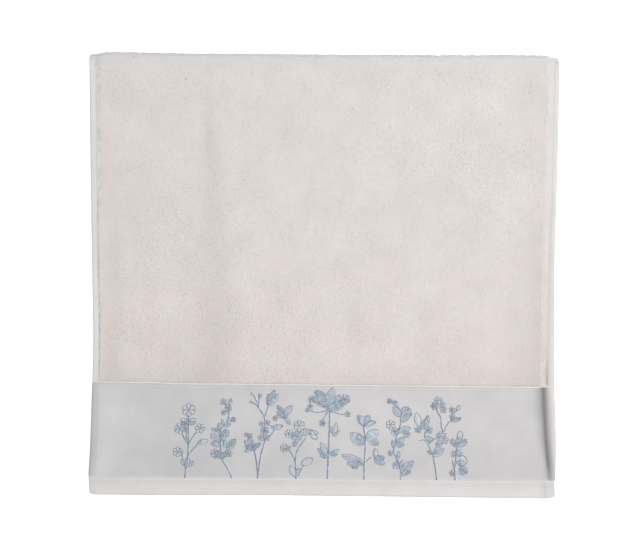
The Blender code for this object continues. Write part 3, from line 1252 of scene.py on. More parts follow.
@dataclass
class Cloth:
    """The woven cloth: one closed sheet for the pile's ground and the back half, one for the band and hem."""

    shape: ClothShape = SHAPE
    finishes: Finishes = Finishes()
    inner_columns: int = 118
    near_edge: tuple[float, ...] = (0.0, 0.5, 1.5, 2.7, 3.9, 4.9, 5.9, 6.4, 6.9, 7.3, 7.8, 8.3, 8.7)
    inner_from: float = 9.3 * MM
    shortest_step: float = 0.4 * MM
    narrowest_step: float = 1.0 * MM
    edge_rounding: float = 0.45
    terry_step: float = 3.1 * MM
    fold_steps: int = 18
    back_step: float = 9.0 * MM
    pile_depth: float = 0.35 * MM
    ripple_height: float = 0.12 * MM
    ripple: SoftNoise = field(default_factory=lambda: SoftNoise(5, 12 * MM, 60 * MM))
    ripple_start: Fade = Fade(8 * MM, 38 * MM)
    ripple_end: Fade = Fade(0.0, -60 * MM)
    rounding_reach: float = 1.6 * MM
    fringe_reach: float = 2.0 * MM
    outer_map_share: float = 0.88
    hidden_map_share: float = 0.3
    hidden_below: float = 2.2 * MM
    map_close: float = 0.006
    right_fringe: float = 0.9 * MM
    shades: Shades = field(default_factory=Shades)

    def distances(self) -> np.ndarray:
        """The distances along the cloth at which it has a ring of points."""
        shape = self.shape
        found = [0.0]

        def stretch(end: float, steps: int) -> None:
            """Adds even steps up to the end."""
            found.extend(np.linspace(found[-1], end, steps + 1)[1:])

        for run in shape.front_runs:
            stretch(found[-1] + run.length, run.steps)
        stretch(shape.turn_start, round((shape.turn_start - found[-1]) / self.terry_step))
        stretch(shape.turn_end, self.fold_steps)
        stretch(shape.back_pile_end, round((shape.back_pile_end - found[-1]) / self.back_step))
        for run in shape.back_runs:
            stretch(found[-1] + run.length, run.steps)
        return np.array(found)

    def columns(self, left: np.ndarray, right: np.ndarray) -> tuple[np.ndarray, np.ndarray]:
        """The places across the cloth at each ring.

        Args:
            left: the left edge at each ring.
            right: the right edge at each ring.

        Returns:
            The places across and their distance from the nearer edge, one row for each ring.
        """
        near = np.array(self.near_edge) * MM
        fringe = self.right_fringe * np.clip(1.0 - near / self.fringe_reach, 0.0, 1.0)
        inner = np.linspace(0.0, 1.0, self.inner_columns)
        middle = (left + self.inner_from)[:, None] + (right - left - 2 * self.inner_from)[:, None] * inner
        x = np.concatenate((left[:, None] + near, middle, right[:, None] - (near - fringe)[::-1]), axis=1)
        return x, np.minimum(x - left[:, None], right[:, None] - x)

    def rings(self, distance: np.ndarray) -> np.ndarray:
        """The rings of points round the cloth's section.

        Args:
            distance: where the rings are.

        Returns:
            One row for each ring: its outer face from left to right, then its inner face from right to left.
        """
        left, right = self.shape.edges(distance)
        x, inset = self.columns(left, right)
        outer, inner, _ = self.shape.faces(Places(x, distance[:, None], inset), self.pile_depth)
        rounded = np.clip(1.0 - inset / self.rounding_reach, 0.0, 1.0) ** 2 * self.edge_rounding
        middle = (outer + inner) / 2
        outer = mixed(outer, middle, rounded[..., None])
        inner = mixed(inner, middle, rounded[..., None])
        lying = self.ripple_end.at(distance - self.shape.pile_start) * self.ripple_start.at(distance)
        wave = self.ripple.at(x, outer[..., 1]) * self.ripple_height * lying[:, None]
        outer[..., 2] += wave
        inner[..., 2] += wave
        return np.concatenate((outer, inner[:, ::-1]), axis=1)

    def sheet(self, name: str, distance: np.ndarray, slot: str) -> bpy.types.Object:
        """One closed sheet from the first distance to the last.

        Args:
            name: the piece's name.
            distance: where its rings are.
            slot: the record's material slot.

        Returns:
            The piece, dressed and set in the frame.
        """
        rings = self.rings(distance)
        count, round_count = rings.shape[:2]
        ring, place = np.meshgrid(np.arange(count - 1), np.arange(round_count), indexing="ij")
        near, far = ring * round_count, (ring + 1) * round_count
        after = (place + 1) % round_count
        across = np.arange(round_count // 2 - 1)
        first = quads(across, round_count - 1 - across, round_count - 2 - across, across + 1)
        last = first[:, ::-1] + (count - 1) * round_count
        faces = np.concatenate((quads(near + place, near + after, far + after, far + place), first, last))

        u, v = self.map_lines(rings)
        this, beside = u[place], u[place + 1]
        walls = quad_map((this, beside, beside, this), (v[ring], v[ring], v[ring + 1], v[ring + 1]))
        cap_u = (u[across], u[across], u[across + 1], u[across + 1])
        close, edge = np.full(across.shape, self.map_close), np.zeros(across.shape)
        first_map = quad_map(cap_u, (close, edge, edge, close))
        last_map = quad_map(cap_u[::-1], (1.0 - close, 1.0 - edge, 1.0 - edge, 1.0 - close))
        piece = mesh_piece(name, rings.reshape(-1, 3), faces, np.concatenate((walls, first_map, last_map)))
        self.dress(piece, distance, faces, slot)
        return piece

    def map_lines(self, rings: np.ndarray) -> tuple[np.ndarray, np.ndarray]:
        """How the bake map is shared out, mostly to the outer face and to the front half.

        Args:
            rings: the rings of points.

        Returns:
            The map's place for each column, with the first again at the end, and for each ring.
        """
        half = rings.shape[1] // 2
        first = np.concatenate((rings[0], rings[0][:1]))
        steps = np.maximum(np.linalg.norm(np.diff(first, axis=0), axis=1), self.narrowest_step)
        steps[: half - 1] *= self.outer_map_share / steps[: half - 1].sum()
        steps[half - 1 :] *= (1.0 - self.outer_map_share) / steps[half - 1 :].sum()
        along = np.maximum(np.linalg.norm(np.diff(rings[:, half // 2], axis=0), axis=1), self.shortest_step)
        middle = (rings[:-1, half // 2, 2] + rings[1:, half // 2, 2]) / 2
        along = along * np.where(middle > self.hidden_below, 1.0, self.hidden_map_share)
        u, v = (np.concatenate(([0.0], np.cumsum(sizes) / sizes.sum())) for sizes in (steps, along))
        return mixed(MAP_MARGIN, 1.0 - MAP_MARGIN, u), mixed(MAP_MARGIN, 1.0 - MAP_MARGIN, v)

    def dress(self, piece: bpy.types.Object, distance: np.ndarray, faces: np.ndarray, slot: str) -> None:
        """Gives a sheet its weaves and stores its painted shade and the grey painted shade round the fold.

        Args:
            piece: the sheet.
            distance: where its rings are.
            faces: its faces, one row of vertex numbers each.
            slot: the record's material slot.
        """
        shape, weaves = self.shape, self.finishes
        finish_piece(piece, slot, weaves.ground, weaves.hem, weaves.left_selvage, weaves.right_selvage,
                     weaves.left_band, weaves.right_band)
        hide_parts(NODE)
        columns = self.columns(*shape.edges(distance))
        x, inset = (np.concatenate((measure, measure[:, ::-1]), axis=1) for measure in columns)
        at = Places(x, np.broadcast_to(distance[:, None], x.shape), inset)
        middle = Places(*(measure.reshape(-1)[faces].mean(axis=1) for measure in at))
        on_left = middle.x < 0.0
        margin = np.where(on_left, shape.left_margin(middle.distance), -shape.right_cover(middle.distance))
        bare = shape.selvage_width + np.where(middle.distance < shape.turn_end, margin, 0.0)
        beside_band = on_left & (middle.inset < shape.selvage_width)
        band_end = np.where(beside_band, shape.end_of("between the cords"), shape.end_of("upper cord, falling"))
        zone = np.full(len(faces), Zone.GROUND.value)
        selvage = np.where(on_left, Zone.LEFT_SELVAGE.value, Zone.RIGHT_SELVAGE.value)
        band = np.where(on_left, Zone.LEFT_BAND.value, Zone.RIGHT_BAND.value)
        zone = np.where(middle.inset < bare, selvage, zone)
        zone = np.where(middle.distance < band_end, band, zone)
        zone[(middle.distance < shape.hem_end) | (middle.distance > shape.back_pile_end)] = Zone.HEM.value
        piece.data.polygons.foreach_set("material_index", zone.astype(np.int32))
        store(piece, SHADE, self.shades.whole(at))
        store(piece, GREY_SHADE, shape.grey_fold_shade(x, at.distance))

    def build(self) -> tuple[bpy.types.Object, bpy.types.Object]:
        """Makes both sheets.

        Returns:
            The terry sheet and the band.
        """
        distance = self.distances()
        split = int(np.searchsorted(distance, self.shape.pile_start - self.shape.pile_slope - ROUNDING))
        terry = self.sheet("terry_cloth", distance[split:], "terry")
        return terry, self.sheet("woven_band", distance[: split + 1], "band")


# ---------------------------------------------------------------- the pile


@dataclass
class Pile:
    """The loops of the pile on the front half and round the fold, in panels of some thousands of loops."""

    shape: ClothShape = SHAPE
    finish: PileFinish = Finishes().pile
    pitch: float = 1.85 * MM
    yarn_radius: float = 0.55 * MM
    loop_width: float = 1.75 * MM
    ground_depth: float = 0.35 * MM
    proud: float = 0.18 * MM
    fold_fluff: float = 0.5 * MM
    root_depth: float = 0.5 * MM
    wander: float = 0.42
    softness: float = 0.93
    seep: float = 0.5
    panels: int = 6
    turn: float = 0.62
    seed: int = 31
    brushed: SoftNoise = field(default_factory=lambda: SoftNoise(11, 18 * MM, 70 * MM))
    brushed_across: SoftNoise = field(default_factory=lambda: SoftNoise(12, 18 * MM, 70 * MM))
    unevenness: SoftNoise = field(default_factory=lambda: SoftNoise(13, 5 * MM, 22 * MM))
    edge_wobble: SoftNoise = field(default_factory=lambda: SoftNoise(14, 4 * MM, 30 * MM))
    warm_patches: SoftNoise = field(default_factory=lambda: SoftNoise(15, 14 * MM, 60 * MM))

    over_selvage: float = 0.3 * MM
    wobble_left: float = 1.7 * MM
    wobble_right: float = 0.8 * MM
    fluff_start: Fade = Fade(7 * MM, 17 * MM)
    height_patches: float = 0.16
    height_spread: float = 0.12
    lean_patches_across: float = 0.35
    lean_patches_along: float = 0.45
    lean_to_band: float = 0.10
    lean_spread: float = 0.32
    root_place: float = 0.55
    top_place: float = 0.28
    top_height: float = 0.95
    ring_twist: float = 0.55
    map_rise: float = 0.4
    # Painted shade on the loops in the left margin and along the right edge's shadow line.
    left_dark: Fade = Fade(14 * MM, 8 * MM, 0.24)
    left_dark_below: Fade = Fade(120 * MM, 30 * MM)
    right_dark: Fade = Fade(5 * MM, 1.4 * MM, 1.3)
    warm_below: Fade = Fade(70 * MM, -80 * MM, 0.47, 0.20)
    # The loops are painted cooler at the fold, as part of the fold's painted shade.
    cool_fold_shade: Fade = Fade(196 * MM, 216 * MM, 0.20)
    warm_unevenness: float = 0.18
    # Loops near the long edges take part of the grey of the fold's painted shade.
    grey_beside_edges: Fade = Fade(24 * MM, 10 * MM, 0.42)
    start_before: float = 0.9 * MM
    fold_share: float = 0.86

    SIDES = 3

    def sites(self, start: float, end: float, draw: np.random.Generator) -> Places:
        """Where the loops of one panel stand.

        Args:
            start: the panel's start along the cloth.
            end: its end along the cloth.
            draw: the panel's random numbers.

        Returns:
            The place of each loop.
        """
        rows = max(1, round((end - start) / self.pitch))
        along = start + (np.arange(rows) + 0.5) * (end - start) / rows
        left, right = self.shape.edges(along)
        inset = self.shape.selvage_width + self.over_selvage
        over_right = self.shape.right_cover(along)
        count = round(float(np.mean(right - left + over_right) - 2 * inset) / self.pitch)
        part = (np.arange(count) + 0.5) / count
        stagger = np.where(np.arange(rows) % 2, 0.25, -0.25)[:, None] / count
        low = left + inset + self.shape.left_margin(along)
        low = low + self.wobble_left * self.edge_wobble.at(along, 0.0 * along)
        high = right - inset + over_right + self.wobble_right * self.edge_wobble.at(along, 0.0 * along + 1.0)
        x = low[:, None] + (high - low)[:, None] * (part + stagger)
        distance = np.broadcast_to(along[:, None], x.shape)
        x = x + draw.uniform(-1, 1, x.shape) * self.wander * self.pitch
        distance = distance + draw.uniform(-1, 1, x.shape) * self.wander * self.pitch
        edge = np.minimum(x - left[:, None], right[:, None] - x)
        return Places(x.ravel(), distance.ravel(), edge.ravel())

    def panel(self, number: int, start: float, end: float) -> bpy.types.Object:
        """One panel of loops.

        Args:
            number: the panel's number, which also seeds its random numbers.
            start: its start along the cloth.
            end: its end along the cloth.

        Returns:
            The piece.
        """
        draw = np.random.default_rng(self.seed + number)
        at = self.sites(start, end, draw)
        foot, _, up = self.shape.faces(at, self.ground_depth)
        along_cloth = np.stack((0.0 * at.x, up[:, 2], -up[:, 1]), axis=-1)
        points = self.loops(at, foot, along_cloth, up, draw)
        per_loop = points.shape[1]
        flat = points.reshape(-1, 3)
        ups = np.repeat(up, per_loop, axis=0)
        shift = flat - np.repeat(foot, per_loop, axis=0)
        step = np.einsum("ij,ij->i", shift, np.repeat(along_cloth, per_loop, axis=0))
        raised = self.map_rise * np.einsum("ij,ij->i", shift, ups)
        lay = spread_map(flat[:, 0] + raised, np.repeat(at.distance, per_loop) + step + raised)
        piece = mesh_piece(f"pile_panel_{number}", flat, spindle_faces(points, self.SIDES, False), lay)
        # Each loop stores its painted shade, its warmth and the grey painted shade of the fold.
        shade = np.maximum(self.shape.pile_shade(at), self.side_shade(at)) + self.shape.broad_pile_shade(at)
        grey_fold_shade = np.maximum(self.shape.grey_fold_shade(at.x, at.distance), self.grey_beside_edges.at(at.inset))
        store(piece, SHADE, np.repeat(np.clip(shade, 0.0, 1.0), per_loop))
        store(piece, TINT, np.repeat(self.warmth(at), per_loop))
        store(piece, GREY_SHADE, np.repeat(grey_fold_shade, per_loop))
        self.soften(piece, ups)
        finish_piece(piece, "terry", self.finish)
        return piece

    def loops(self, at: Places, foot: np.ndarray, along_cloth: np.ndarray, up: np.ndarray,
              draw: np.random.Generator) -> np.ndarray:
        """The points of every loop, which leaves the cloth, lies over and goes back into it.

        Args:
            at: the loops' places.
            foot: the points where they stand.
            along_cloth: the way along the cloth at each.
            up: the way out of the cloth at each.
            draw: the panel's random numbers.

        Returns:
            One row of points for each loop: a root, its two rings and the other root.
        """
        across_cloth = np.broadcast_to((1.0, 0.0, 0.0), foot.shape)
        count = len(foot)
        heading = draw.normal(math.pi / 2, self.turn, count)
        plane = across_cloth * np.cos(heading)[:, None] + along_cloth * np.sin(heading)[:, None]
        side = np.cross(plane, up)
        round_fold = np.sin(math.pi * self.shape.turned(at.distance))
        fluff = self.fold_fluff * round_fold * self.fluff_start.at(at.inset)
        height = self.ground_depth + self.proud + fluff - self.yarn_radius
        uneven = self.height_patches * self.unevenness.at(at.x, at.distance)
        height = height * (1.0 + uneven + draw.normal(0.0, self.height_spread, count))
        width = self.loop_width * draw.uniform(0.75, 1.25, count)
        lean_x = self.lean_patches_across * self.brushed_across.at(at.x, at.distance)
        lean_x = lean_x + draw.normal(0.0, self.lean_spread, count)
        lean_y = self.lean_patches_along * self.brushed.at(at.x, at.distance) - self.lean_to_band
        lean_y = lean_y + draw.normal(0.0, self.lean_spread, count)
        lean = (across_cloth * lean_x[:, None] + along_cloth * lean_y[:, None]) * MM
        radius = self.yarn_radius * draw.uniform(0.85, 1.15, count)
        twist = draw.uniform(0.0, math.tau, count)

        def aside(share: float) -> np.ndarray:
            """The points at that share of the loops' widths to one side of their feet."""
            return foot + plane * (share * width)[:, None]

        roots = [aside(side_of_foot * self.root_place) - up * self.root_depth for side_of_foot in (-1.0, 1.0)]
        rise = up * (self.top_height * height)[:, None] + lean
        tops = [aside(side_of_foot * self.top_place) + rise for side_of_foot in (-1.0, 1.0)]
        rings = []
        for number, (centre, way) in enumerate(zip(tops, (tops[1] - roots[0], roots[1] - tops[0]))):
            tangent = way / np.linalg.norm(way, axis=1, keepdims=True)
            normal = np.cross(side, tangent)
            for corner in range(self.SIDES):
                angle = twist + self.ring_twist * number + corner * math.tau / self.SIDES
                offset = normal * np.cos(angle)[:, None] + side * np.sin(angle)[:, None]
                rings.append(centre + offset * radius[:, None])
        return np.stack([roots[0], *rings, roots[1]], axis=1)

    def side_shade(self, at: Places) -> np.ndarray:
        """Painted shade on the loops in the left margin and where the right edge lies on the back half.

        Args:
            at: the places.

        Returns:
            The shade, from 0 to 1.
        """
        y = self.shape.flat_y(at.distance)
        left = self.left_dark.at(at.inset) * self.left_dark_below.at(y)
        right = self.right_dark.at(at.inset) * self.shape.contact(y)
        return np.clip(np.where(at.x < 0.0, left, right), 0.0, 1.0)

    def warmth(self, at: Places) -> np.ndarray:
        """How warm the loops are, in uneven patches, most towards the band; painted cool shade at the fold.

        Args:
            at: the places.

        Returns:
            The warmth, from 0 to 1.
        """
        y = self.shape.flat_y(at.distance)
        uneven = self.warm_unevenness * self.warm_patches.at(at.x, at.distance)
        return np.clip(self.warm_below.at(y) - self.cool_fold_shade.at(y) + uneven, 0.0, 1.0)

    def soften(self, piece: bpy.types.Object, up: np.ndarray) -> None:
        """Turns the shading of the loops towards the cloth's own, since light soaks through loose fibres.

        Args:
            piece: the panel.
            up: the way out of the cloth at each vertex.
        """
        normals = np.empty((len(up), 3), dtype=np.float32)
        piece.data.vertices.foreach_get("normal", normals.reshape(-1))
        soft = mixed(normals, up + np.array((0.0, 0.0, self.seep)), self.softness)
        soft /= np.linalg.norm(soft, axis=1, keepdims=True)
        piece.data.normals_split_custom_set_from_vertices(soft)

    def build(self) -> list[bpy.types.Object]:
        """Makes the panels.

        Returns:
            The pieces, from the band to the underside of the fold.
        """
        start = self.shape.pile_start - self.start_before
        end = mixed(self.shape.turn_start, self.shape.turn_end, self.fold_share)
        stops = np.linspace(start, end, self.panels + 1)
        return [self.panel(number + 1, stops[number], stops[number + 1]) for number in range(self.panels)]


# ---------------------------------------------------------------- thread


class Stitch(NamedTuple):
    """A stem stitch: its step, how far it runs into the next, and its thread's radius. In millimetres."""

    step: float
    overlap: float
    radius: float


@dataclass
class ThreadWork:
    """Stitches collected in the plane of the band and then made as closed, tapered lengths of thread."""

    name: str
    finish: ThreadFinish
    slot: str
    sides: int = 4
    unevenness: float = 0.15
    sections: Table = ((0.16, 0.86), (0.5, 1.0), (0.84, 0.86))
    sink: float = 0.6
    map_rise: float = 0.4
    starts: list[np.ndarray] = field(default_factory=list)
    ends: list[np.ndarray] = field(default_factory=list)
    radii: list[np.ndarray] = field(default_factory=list)
    tones: list[np.ndarray] = field(default_factory=list)
    tints: list[np.ndarray] = field(default_factory=list)

    def sew(self, starts: np.ndarray, ends: np.ndarray, radius: float, tone: float = 0.5, tint: float = 0.5
            ) -> None:
        """Adds stitches, each with a slightly different radius and tone.

        Args:
            starts: where each stitch leaves the cloth, in millimetres.
            ends: where each stitch goes back into it, in millimetres.
            radius: the thread's radius, in millimetres.
            tone: how pale the stitches are, from 0 to 1.
            tint: how far they lean towards violet, from 0 to 1.
        """
        count = len(np.atleast_2d(starts))
        draw = np.random.default_rng(len(self.starts))
        self.starts.append(np.atleast_2d(starts))
        self.ends.append(np.atleast_2d(ends))
        self.radii.append(radius * (1.0 + draw.uniform(-1.0, 1.0, count) * self.unevenness))
        self.tones.append(np.clip(tone + draw.normal(0.0, self.unevenness, count), 0.0, 1.0))
        self.tints.append(np.full(count, tint))

    def along(self, line: np.ndarray, stitch: Stitch, tone: float = 0.5, tint: float = 0.5) -> None:
        """Sews stem stitches along a line.

        Args:
            line: the line's points, in millimetres.
            stitch: the sizes of the stitches.
            tone: how pale the stitches are, from 0 to 1.
            tint: how far they lean towards violet, from 0 to 1.
        """
        lengths = np.concatenate(([0.0], np.cumsum(np.linalg.norm(np.diff(line, axis=0), axis=1))))
        count = max(1, round(lengths[-1] / stitch.step))
        begin = np.linspace(0.0, lengths[-1], count + 1)[:-1]
        finish = np.minimum(begin + lengths[-1] / count + stitch.overlap, lengths[-1])
        begin = np.maximum(begin - stitch.overlap, 0.0)

        def read(at: np.ndarray) -> np.ndarray:
            """The points of the line at those lengths."""
            return np.stack([np.interp(at, lengths, line[:, axis]) for axis in range(2)], axis=-1)

        self.sew(read(begin), read(finish), stitch.radius, tone, tint)

    def build(self, shape: ClothShape, lift: float) -> bpy.types.Object:
        """Makes the piece on the cloth's top face.

        Args:
            shape: the cloth's shape.
            lift: how high the thread's middle rises over the cloth, in radii.

        Returns:
            The piece.
        """
        foot_a, foot_b = (shape.on_band(*(np.concatenate(ends) * MM).T) for ends in (self.starts, self.ends))
        radius = np.concatenate(self.radii)[:, None] * MM
        way = unit(foot_b - foot_a)
        side = unit(np.cross(way, (0.0, 0.0, 1.0)))
        up = np.cross(side, way)
        rings = []
        for part, fullness in self.sections:
            centre = mixed(foot_a, foot_b, part) + up * (lift * radius * fullness)
            for corner in range(self.sides):
                angle = (corner + 0.5) * math.tau / self.sides
                rings.append(centre + (up * math.cos(angle) + side * math.sin(angle)) * (radius * fullness))
        sunk = up * (self.sink * radius)
        points = np.stack([foot_a - sunk, *rings, foot_b - sunk], axis=1)
        flat = points.reshape(-1, 3)
        raised = self.map_rise * (flat[:, 2] - flat[:, 2].min())
        lay = spread_map(flat[:, 0] + raised, flat[:, 1] + raised)
        piece = mesh_piece(self.name, flat, spindle_faces(points, self.sides, True), lay)
        for name, values in ((TONE, self.tones), (TINT, self.tints)):
            store(piece, name, np.repeat(np.concatenate(values), points.shape[1]))
        finish_piece(piece, self.slot, self.finish)
        return piece

# ---------------------------------------------------------------- embroidery


class Bloom(Enum):
    """The kinds of flower and leaf in the sprigs."""

    ROUND = "petals all round, in outline"
    SOLID = "petals all round, filled"
    CUP = "a few petals that open upwards"
    BELL = "a filled cup with two long side petals"
    LEAF = "one pointed leaf, filled"
    OPEN_LEAF = "one pointed leaf, in outline"
    BUD = "a small filled drop"
    FAN = "narrow leaves from one foot"


ROUND, SOLID, CUP, BELL, LEAF, OPEN_LEAF, BUD, FAN = Bloom


class Item(NamedTuple):
    """A flower, leaf or bud: its kind, its foot or middle, its heading in degrees, its size, a leaf's width."""

    kind: Bloom
    x: float
    y: float
    heading: float
    size: float
    width: float = 0.48


@dataclass(frozen=True)
class Sprig:
    """One embroidered plant: where it stands, its stems and what grows on them, from its foot."""

    name: str
    foot_x: float
    stems: tuple[tuple[tuple[float, float], ...], ...]
    items: tuple[Item, ...]


class Threads(NamedTuple):
    """The two threads of one sprig: the darker one for outlines and stems, the paler one for the rest."""

    outline: ThreadWork
    filling: ThreadWork


class Petal(NamedTuple):
    """A petal or leaf: its turn in degrees, its length, its width and how far along it is widest."""

    turn: float
    length: float
    width: float
    blunt: float


@dataclass
class Embroidery:
    """The row of flower sprigs. Sizes are in millimetres, tones and tints from 0 to 1."""

    sprigs: tuple[Sprig, ...]
    shape: ClothShape = SHAPE
    finishes: Finishes = Finishes()
    foot_y: float = -217.0
    row_fall: float = 0.009
    foot_reach: float = 1.9
    foot_part: float = 12.0
    curve_steps: int = 6
    stem: Stitch = Stitch(2.0, 0.5, 0.60)
    highlight: Stitch = Stitch(2.2, 0.4, 0.36)
    edge: Stitch = Stitch(1.7, 0.35, 0.38)
    rib: Stitch = Stitch(1.8, 0.3, 0.304)
    stem_tone: float = 0.42
    highlight_tone: float = 0.80
    highlight_tint: float = 0.3
    highlight_offset: float = 0.80
    outline_lift: float = 0.55
    filling_lift: float = 0.25
    fullness: float = 1.06
    filling_radius: float = 0.42
    filling_step: float = 0.90
    filling_tone: tuple[float, float] = (0.36, 0.17)
    hollow_tone: float = 0.92
    filled_width: float = 0.92
    hollow_width: float = 0.55
    slant: float = 0.25
    edge_points: int = 9
    edge_power: float = 0.75
    row_margin: float = 0.1
    filling_tones: tuple[float, float] = (0.05, 0.70)
    edge_tones: tuple[float, float] = (0.0, 0.9)
    stem_tints: tuple[float, float] = (0.2, 0.9)
    edge_tone: float = 0.42
    hollow_edge_tone: float = 0.24
    edge_unevenness: float = 0.16
    # Painted light and shade on outlines: paler where they face right, darker facing left, a little darker
    # facing up.
    painted_side_light: float = 0.24
    painted_side_light_fall: float = 0.3
    rib_share: float = 0.7
    leaf_blunt: float = 0.45
    open_leaf_blunt: float = 0.5
    flower_eye: Petal = Petal(0.0, 1.4, 1.3, 0.5)
    ribbed_from: float = 11.0
    small_flower: float = 4.5
    flower_petal: Petal = Petal(0.0, 1.0, 0.82, 0.68)
    bloom_petals: tuple[tuple[Bloom, tuple[Petal, ...]], ...] = (
        (BUD, (Petal(0.0, 1.0, 0.62, 0.6),)),
        (FAN, tuple(Petal(turn, 1.0 - abs(turn) / 220, 0.24, 0.5) for turn in (-52.0, -20.0, 14.0, 46.0))),
        (CUP, (Petal(-38.0, 0.9, 0.5, 0.62), Petal(38.0, 0.9, 0.5, 0.62), Petal(0.0, 1.0, 0.5, 0.62))),
        (BELL, (Petal(0.0, 1.0, 0.8, 0.62), Petal(-62.0, 0.85, 0.3, 0.6), Petal(62.0, 0.85, 0.3, 0.6))),
    )
    draw: np.random.Generator = field(default_factory=lambda: np.random.default_rng(43))

    def build(self) -> list[bpy.types.Object]:
        """Sews every sprig.

        Returns:
            The pieces: an outline and a filling for each sprig.
        """
        pieces = []
        for sprig in self.sprigs:
            threads = Threads(
                ThreadWork(f"{sprig.name}_outline", self.finishes.outline, "embroidery"),
                ThreadWork(f"{sprig.name}_filling", self.finishes.filling, "embroidery"),
            )
            foot = np.array((sprig.foot_x, self.foot_y - self.row_fall * sprig.foot_x))
            for stem in sprig.stems:
                self.sew_stem(np.array(stem, dtype=float), foot, threads)
            for item in sprig.items:
                self.sew_item(item, foot, threads)
            pieces.append(threads.outline.build(self.shape, self.outline_lift))
            pieces.append(threads.filling.build(self.shape, self.filling_lift))
        return pieces

    def sew_stem(self, stem: np.ndarray, foot: np.ndarray, threads: Threads) -> None:
        """Sews one stem, with a painted highlight of pale thread along its right side.

        Args:
            stem: the stem's points from the sprig's foot.
            foot: where the sprig stands.
            threads: the sprig's threads.
        """
        stem[:, 1] -= self.foot_reach * np.clip(1.0 - stem[:, 1] / self.foot_part, 0.0, 1.0)
        line = self.curve(stem) + foot
        way = unit(np.gradient(line, axis=0))
        beside = line + self.highlight_offset * np.stack((way[:, 1], -way[:, 0]), axis=-1)
        threads.outline.along(line, self.stem, self.stem_tone, self.draw.uniform(*self.stem_tints))
        threads.filling.along(beside, self.highlight, self.highlight_tone, self.highlight_tint)

    def curve(self, points: np.ndarray) -> np.ndarray:
        """A smooth line through a stem's points.

        Args:
            points: the stem's points.

        Returns:
            The points of the smooth line.
        """
        padded = np.concatenate((2 * points[:1] - points[1:2], points, 2 * points[-1:] - points[-2:-1]))
        line = [points[0]]
        for index in range(1, len(padded) - 2):
            p0, p1, p2, p3 = padded[index - 1 : index + 3]
            for step in range(1, self.curve_steps + 1):
                t = step / self.curve_steps
                bend = (2 * p0 - 5 * p1 + 4 * p2 - p3) * t**2 + (3 * p1 - p0 - 3 * p2 + p3) * t**3
                line.append(0.5 * (2 * p1 + (p2 - p0) * t + bend))
        return np.array(line)

    def petal(self, foot: np.ndarray, shape: Petal, threads: Threads, tint: float, hollow: bool = False
              ) -> None:
        """Sews one petal or leaf, in tones of its own.

        Args:
            foot: where it starts.
            shape: its turn from straight up, to the left, and its sizes.
            threads: the sprig's threads.
            tint: how far it leans towards violet, from 0 to 1.
            hollow: whether it is only outlined, with a few pale stitches inside.
        """
        turn = math.radians(shape.turn)
        ahead = np.array((-math.sin(turn), math.cos(turn)))
        across = np.array((ahead[1], -ahead[0]))
        length, width = shape.length * self.fullness, shape.width * self.fullness
        power = math.log(0.5) / math.log(shape.blunt)

        def half_width(at: np.ndarray) -> np.ndarray:
            """Half the petal's width at those shares of its length."""
            return width / 2 * np.sin(math.pi * np.clip(at, 0.0, 1.0) ** power) ** self.edge_power

        if hollow:
            tone, step, share = self.hollow_tone, 2 * self.filling_step, self.hollow_width
        else:
            tone = float(np.clip(self.draw.normal(*self.filling_tone), *self.filling_tones))
            step, share = self.filling_step, self.filled_width
        count = max(2, round(length / step))
        at = (np.arange(count) + 0.5 + self.row_margin) / (count + 2 * self.row_margin)
        half = across * (half_width(at) * share)[:, None]
        middle, slant = foot + ahead * (at * length)[:, None], ahead * self.slant
        threads.filling.sew(middle - half - slant, middle + half + slant, self.filling_radius, tone, tint)
        at = (1.0 - np.cos(np.linspace(0.0, math.pi, self.edge_points))) / 2
        middle, half = foot + ahead * (at * length)[:, None], half_width(at)[:, None]
        for outwards in (across, -across):
            tone = self.draw.normal(self.hollow_edge_tone if hollow else self.edge_tone, self.edge_unevenness)
            # Painted light and shade: paler on the side that faces right, darker on the side that faces left.
            tone = tone + self.painted_side_light * float(outwards[0] - self.painted_side_light_fall * outwards[1])
            tone = float(np.clip(tone, *self.edge_tones))
            threads.outline.along(middle + outwards * half, self.edge, tone, tint)

    def sew_item(self, item: Item, foot: np.ndarray, threads: Threads) -> None:
        """Sews a flower, leaf or bud.

        Args:
            item: what to sew.
            foot: where the sprig stands.
            threads: the sprig's threads.
        """
        at = foot + np.array((item.x, item.y))
        size, kind = item.size, item.kind
        tint = float(self.draw.uniform(0.0, 1.0))

        def petal(shape: Petal, hollow: bool = False) -> None:
            """Sews one petal or leaf of the item, turned from its heading and sized by its size."""
            sized = Petal(item.heading + shape.turn, size * shape.length, size * shape.width, shape.blunt)
            self.petal(at, sized, threads, tint, hollow)

        if kind in (LEAF, OPEN_LEAF):
            blunt = self.leaf_blunt if kind is LEAF else self.open_leaf_blunt
            petal(Petal(0.0, 1.0, item.width, blunt), kind is OPEN_LEAF)
            if kind is LEAF and size > self.ribbed_from:
                turn = math.radians(item.heading)
                end = at + self.rib_share * size * np.array((-math.sin(turn), math.cos(turn)))
                threads.outline.along(np.array((at, end)), self.rib, tint=tint)
        elif kind in (ROUND, SOLID):
            petals = 5 if size < self.small_flower else 6
            for number in range(petals):
                petal(self.flower_petal._replace(turn=360.0 * number / petals), kind is ROUND)
            self.petal(at - np.array((0.0, self.flower_eye.length / 2)), self.flower_eye, threads, tint)
        else:
            for shape in dict(self.bloom_petals)[kind]:
                petal(shape)


def plant(number: int, foot_x: float, stems: tuple, items: tuple) -> Sprig:
    """One plant of the row, from its foot, its stems and the values of its items."""
    return Sprig(f"sprig_{number}", foot_x, stems, tuple(Item(*values) for values in items))


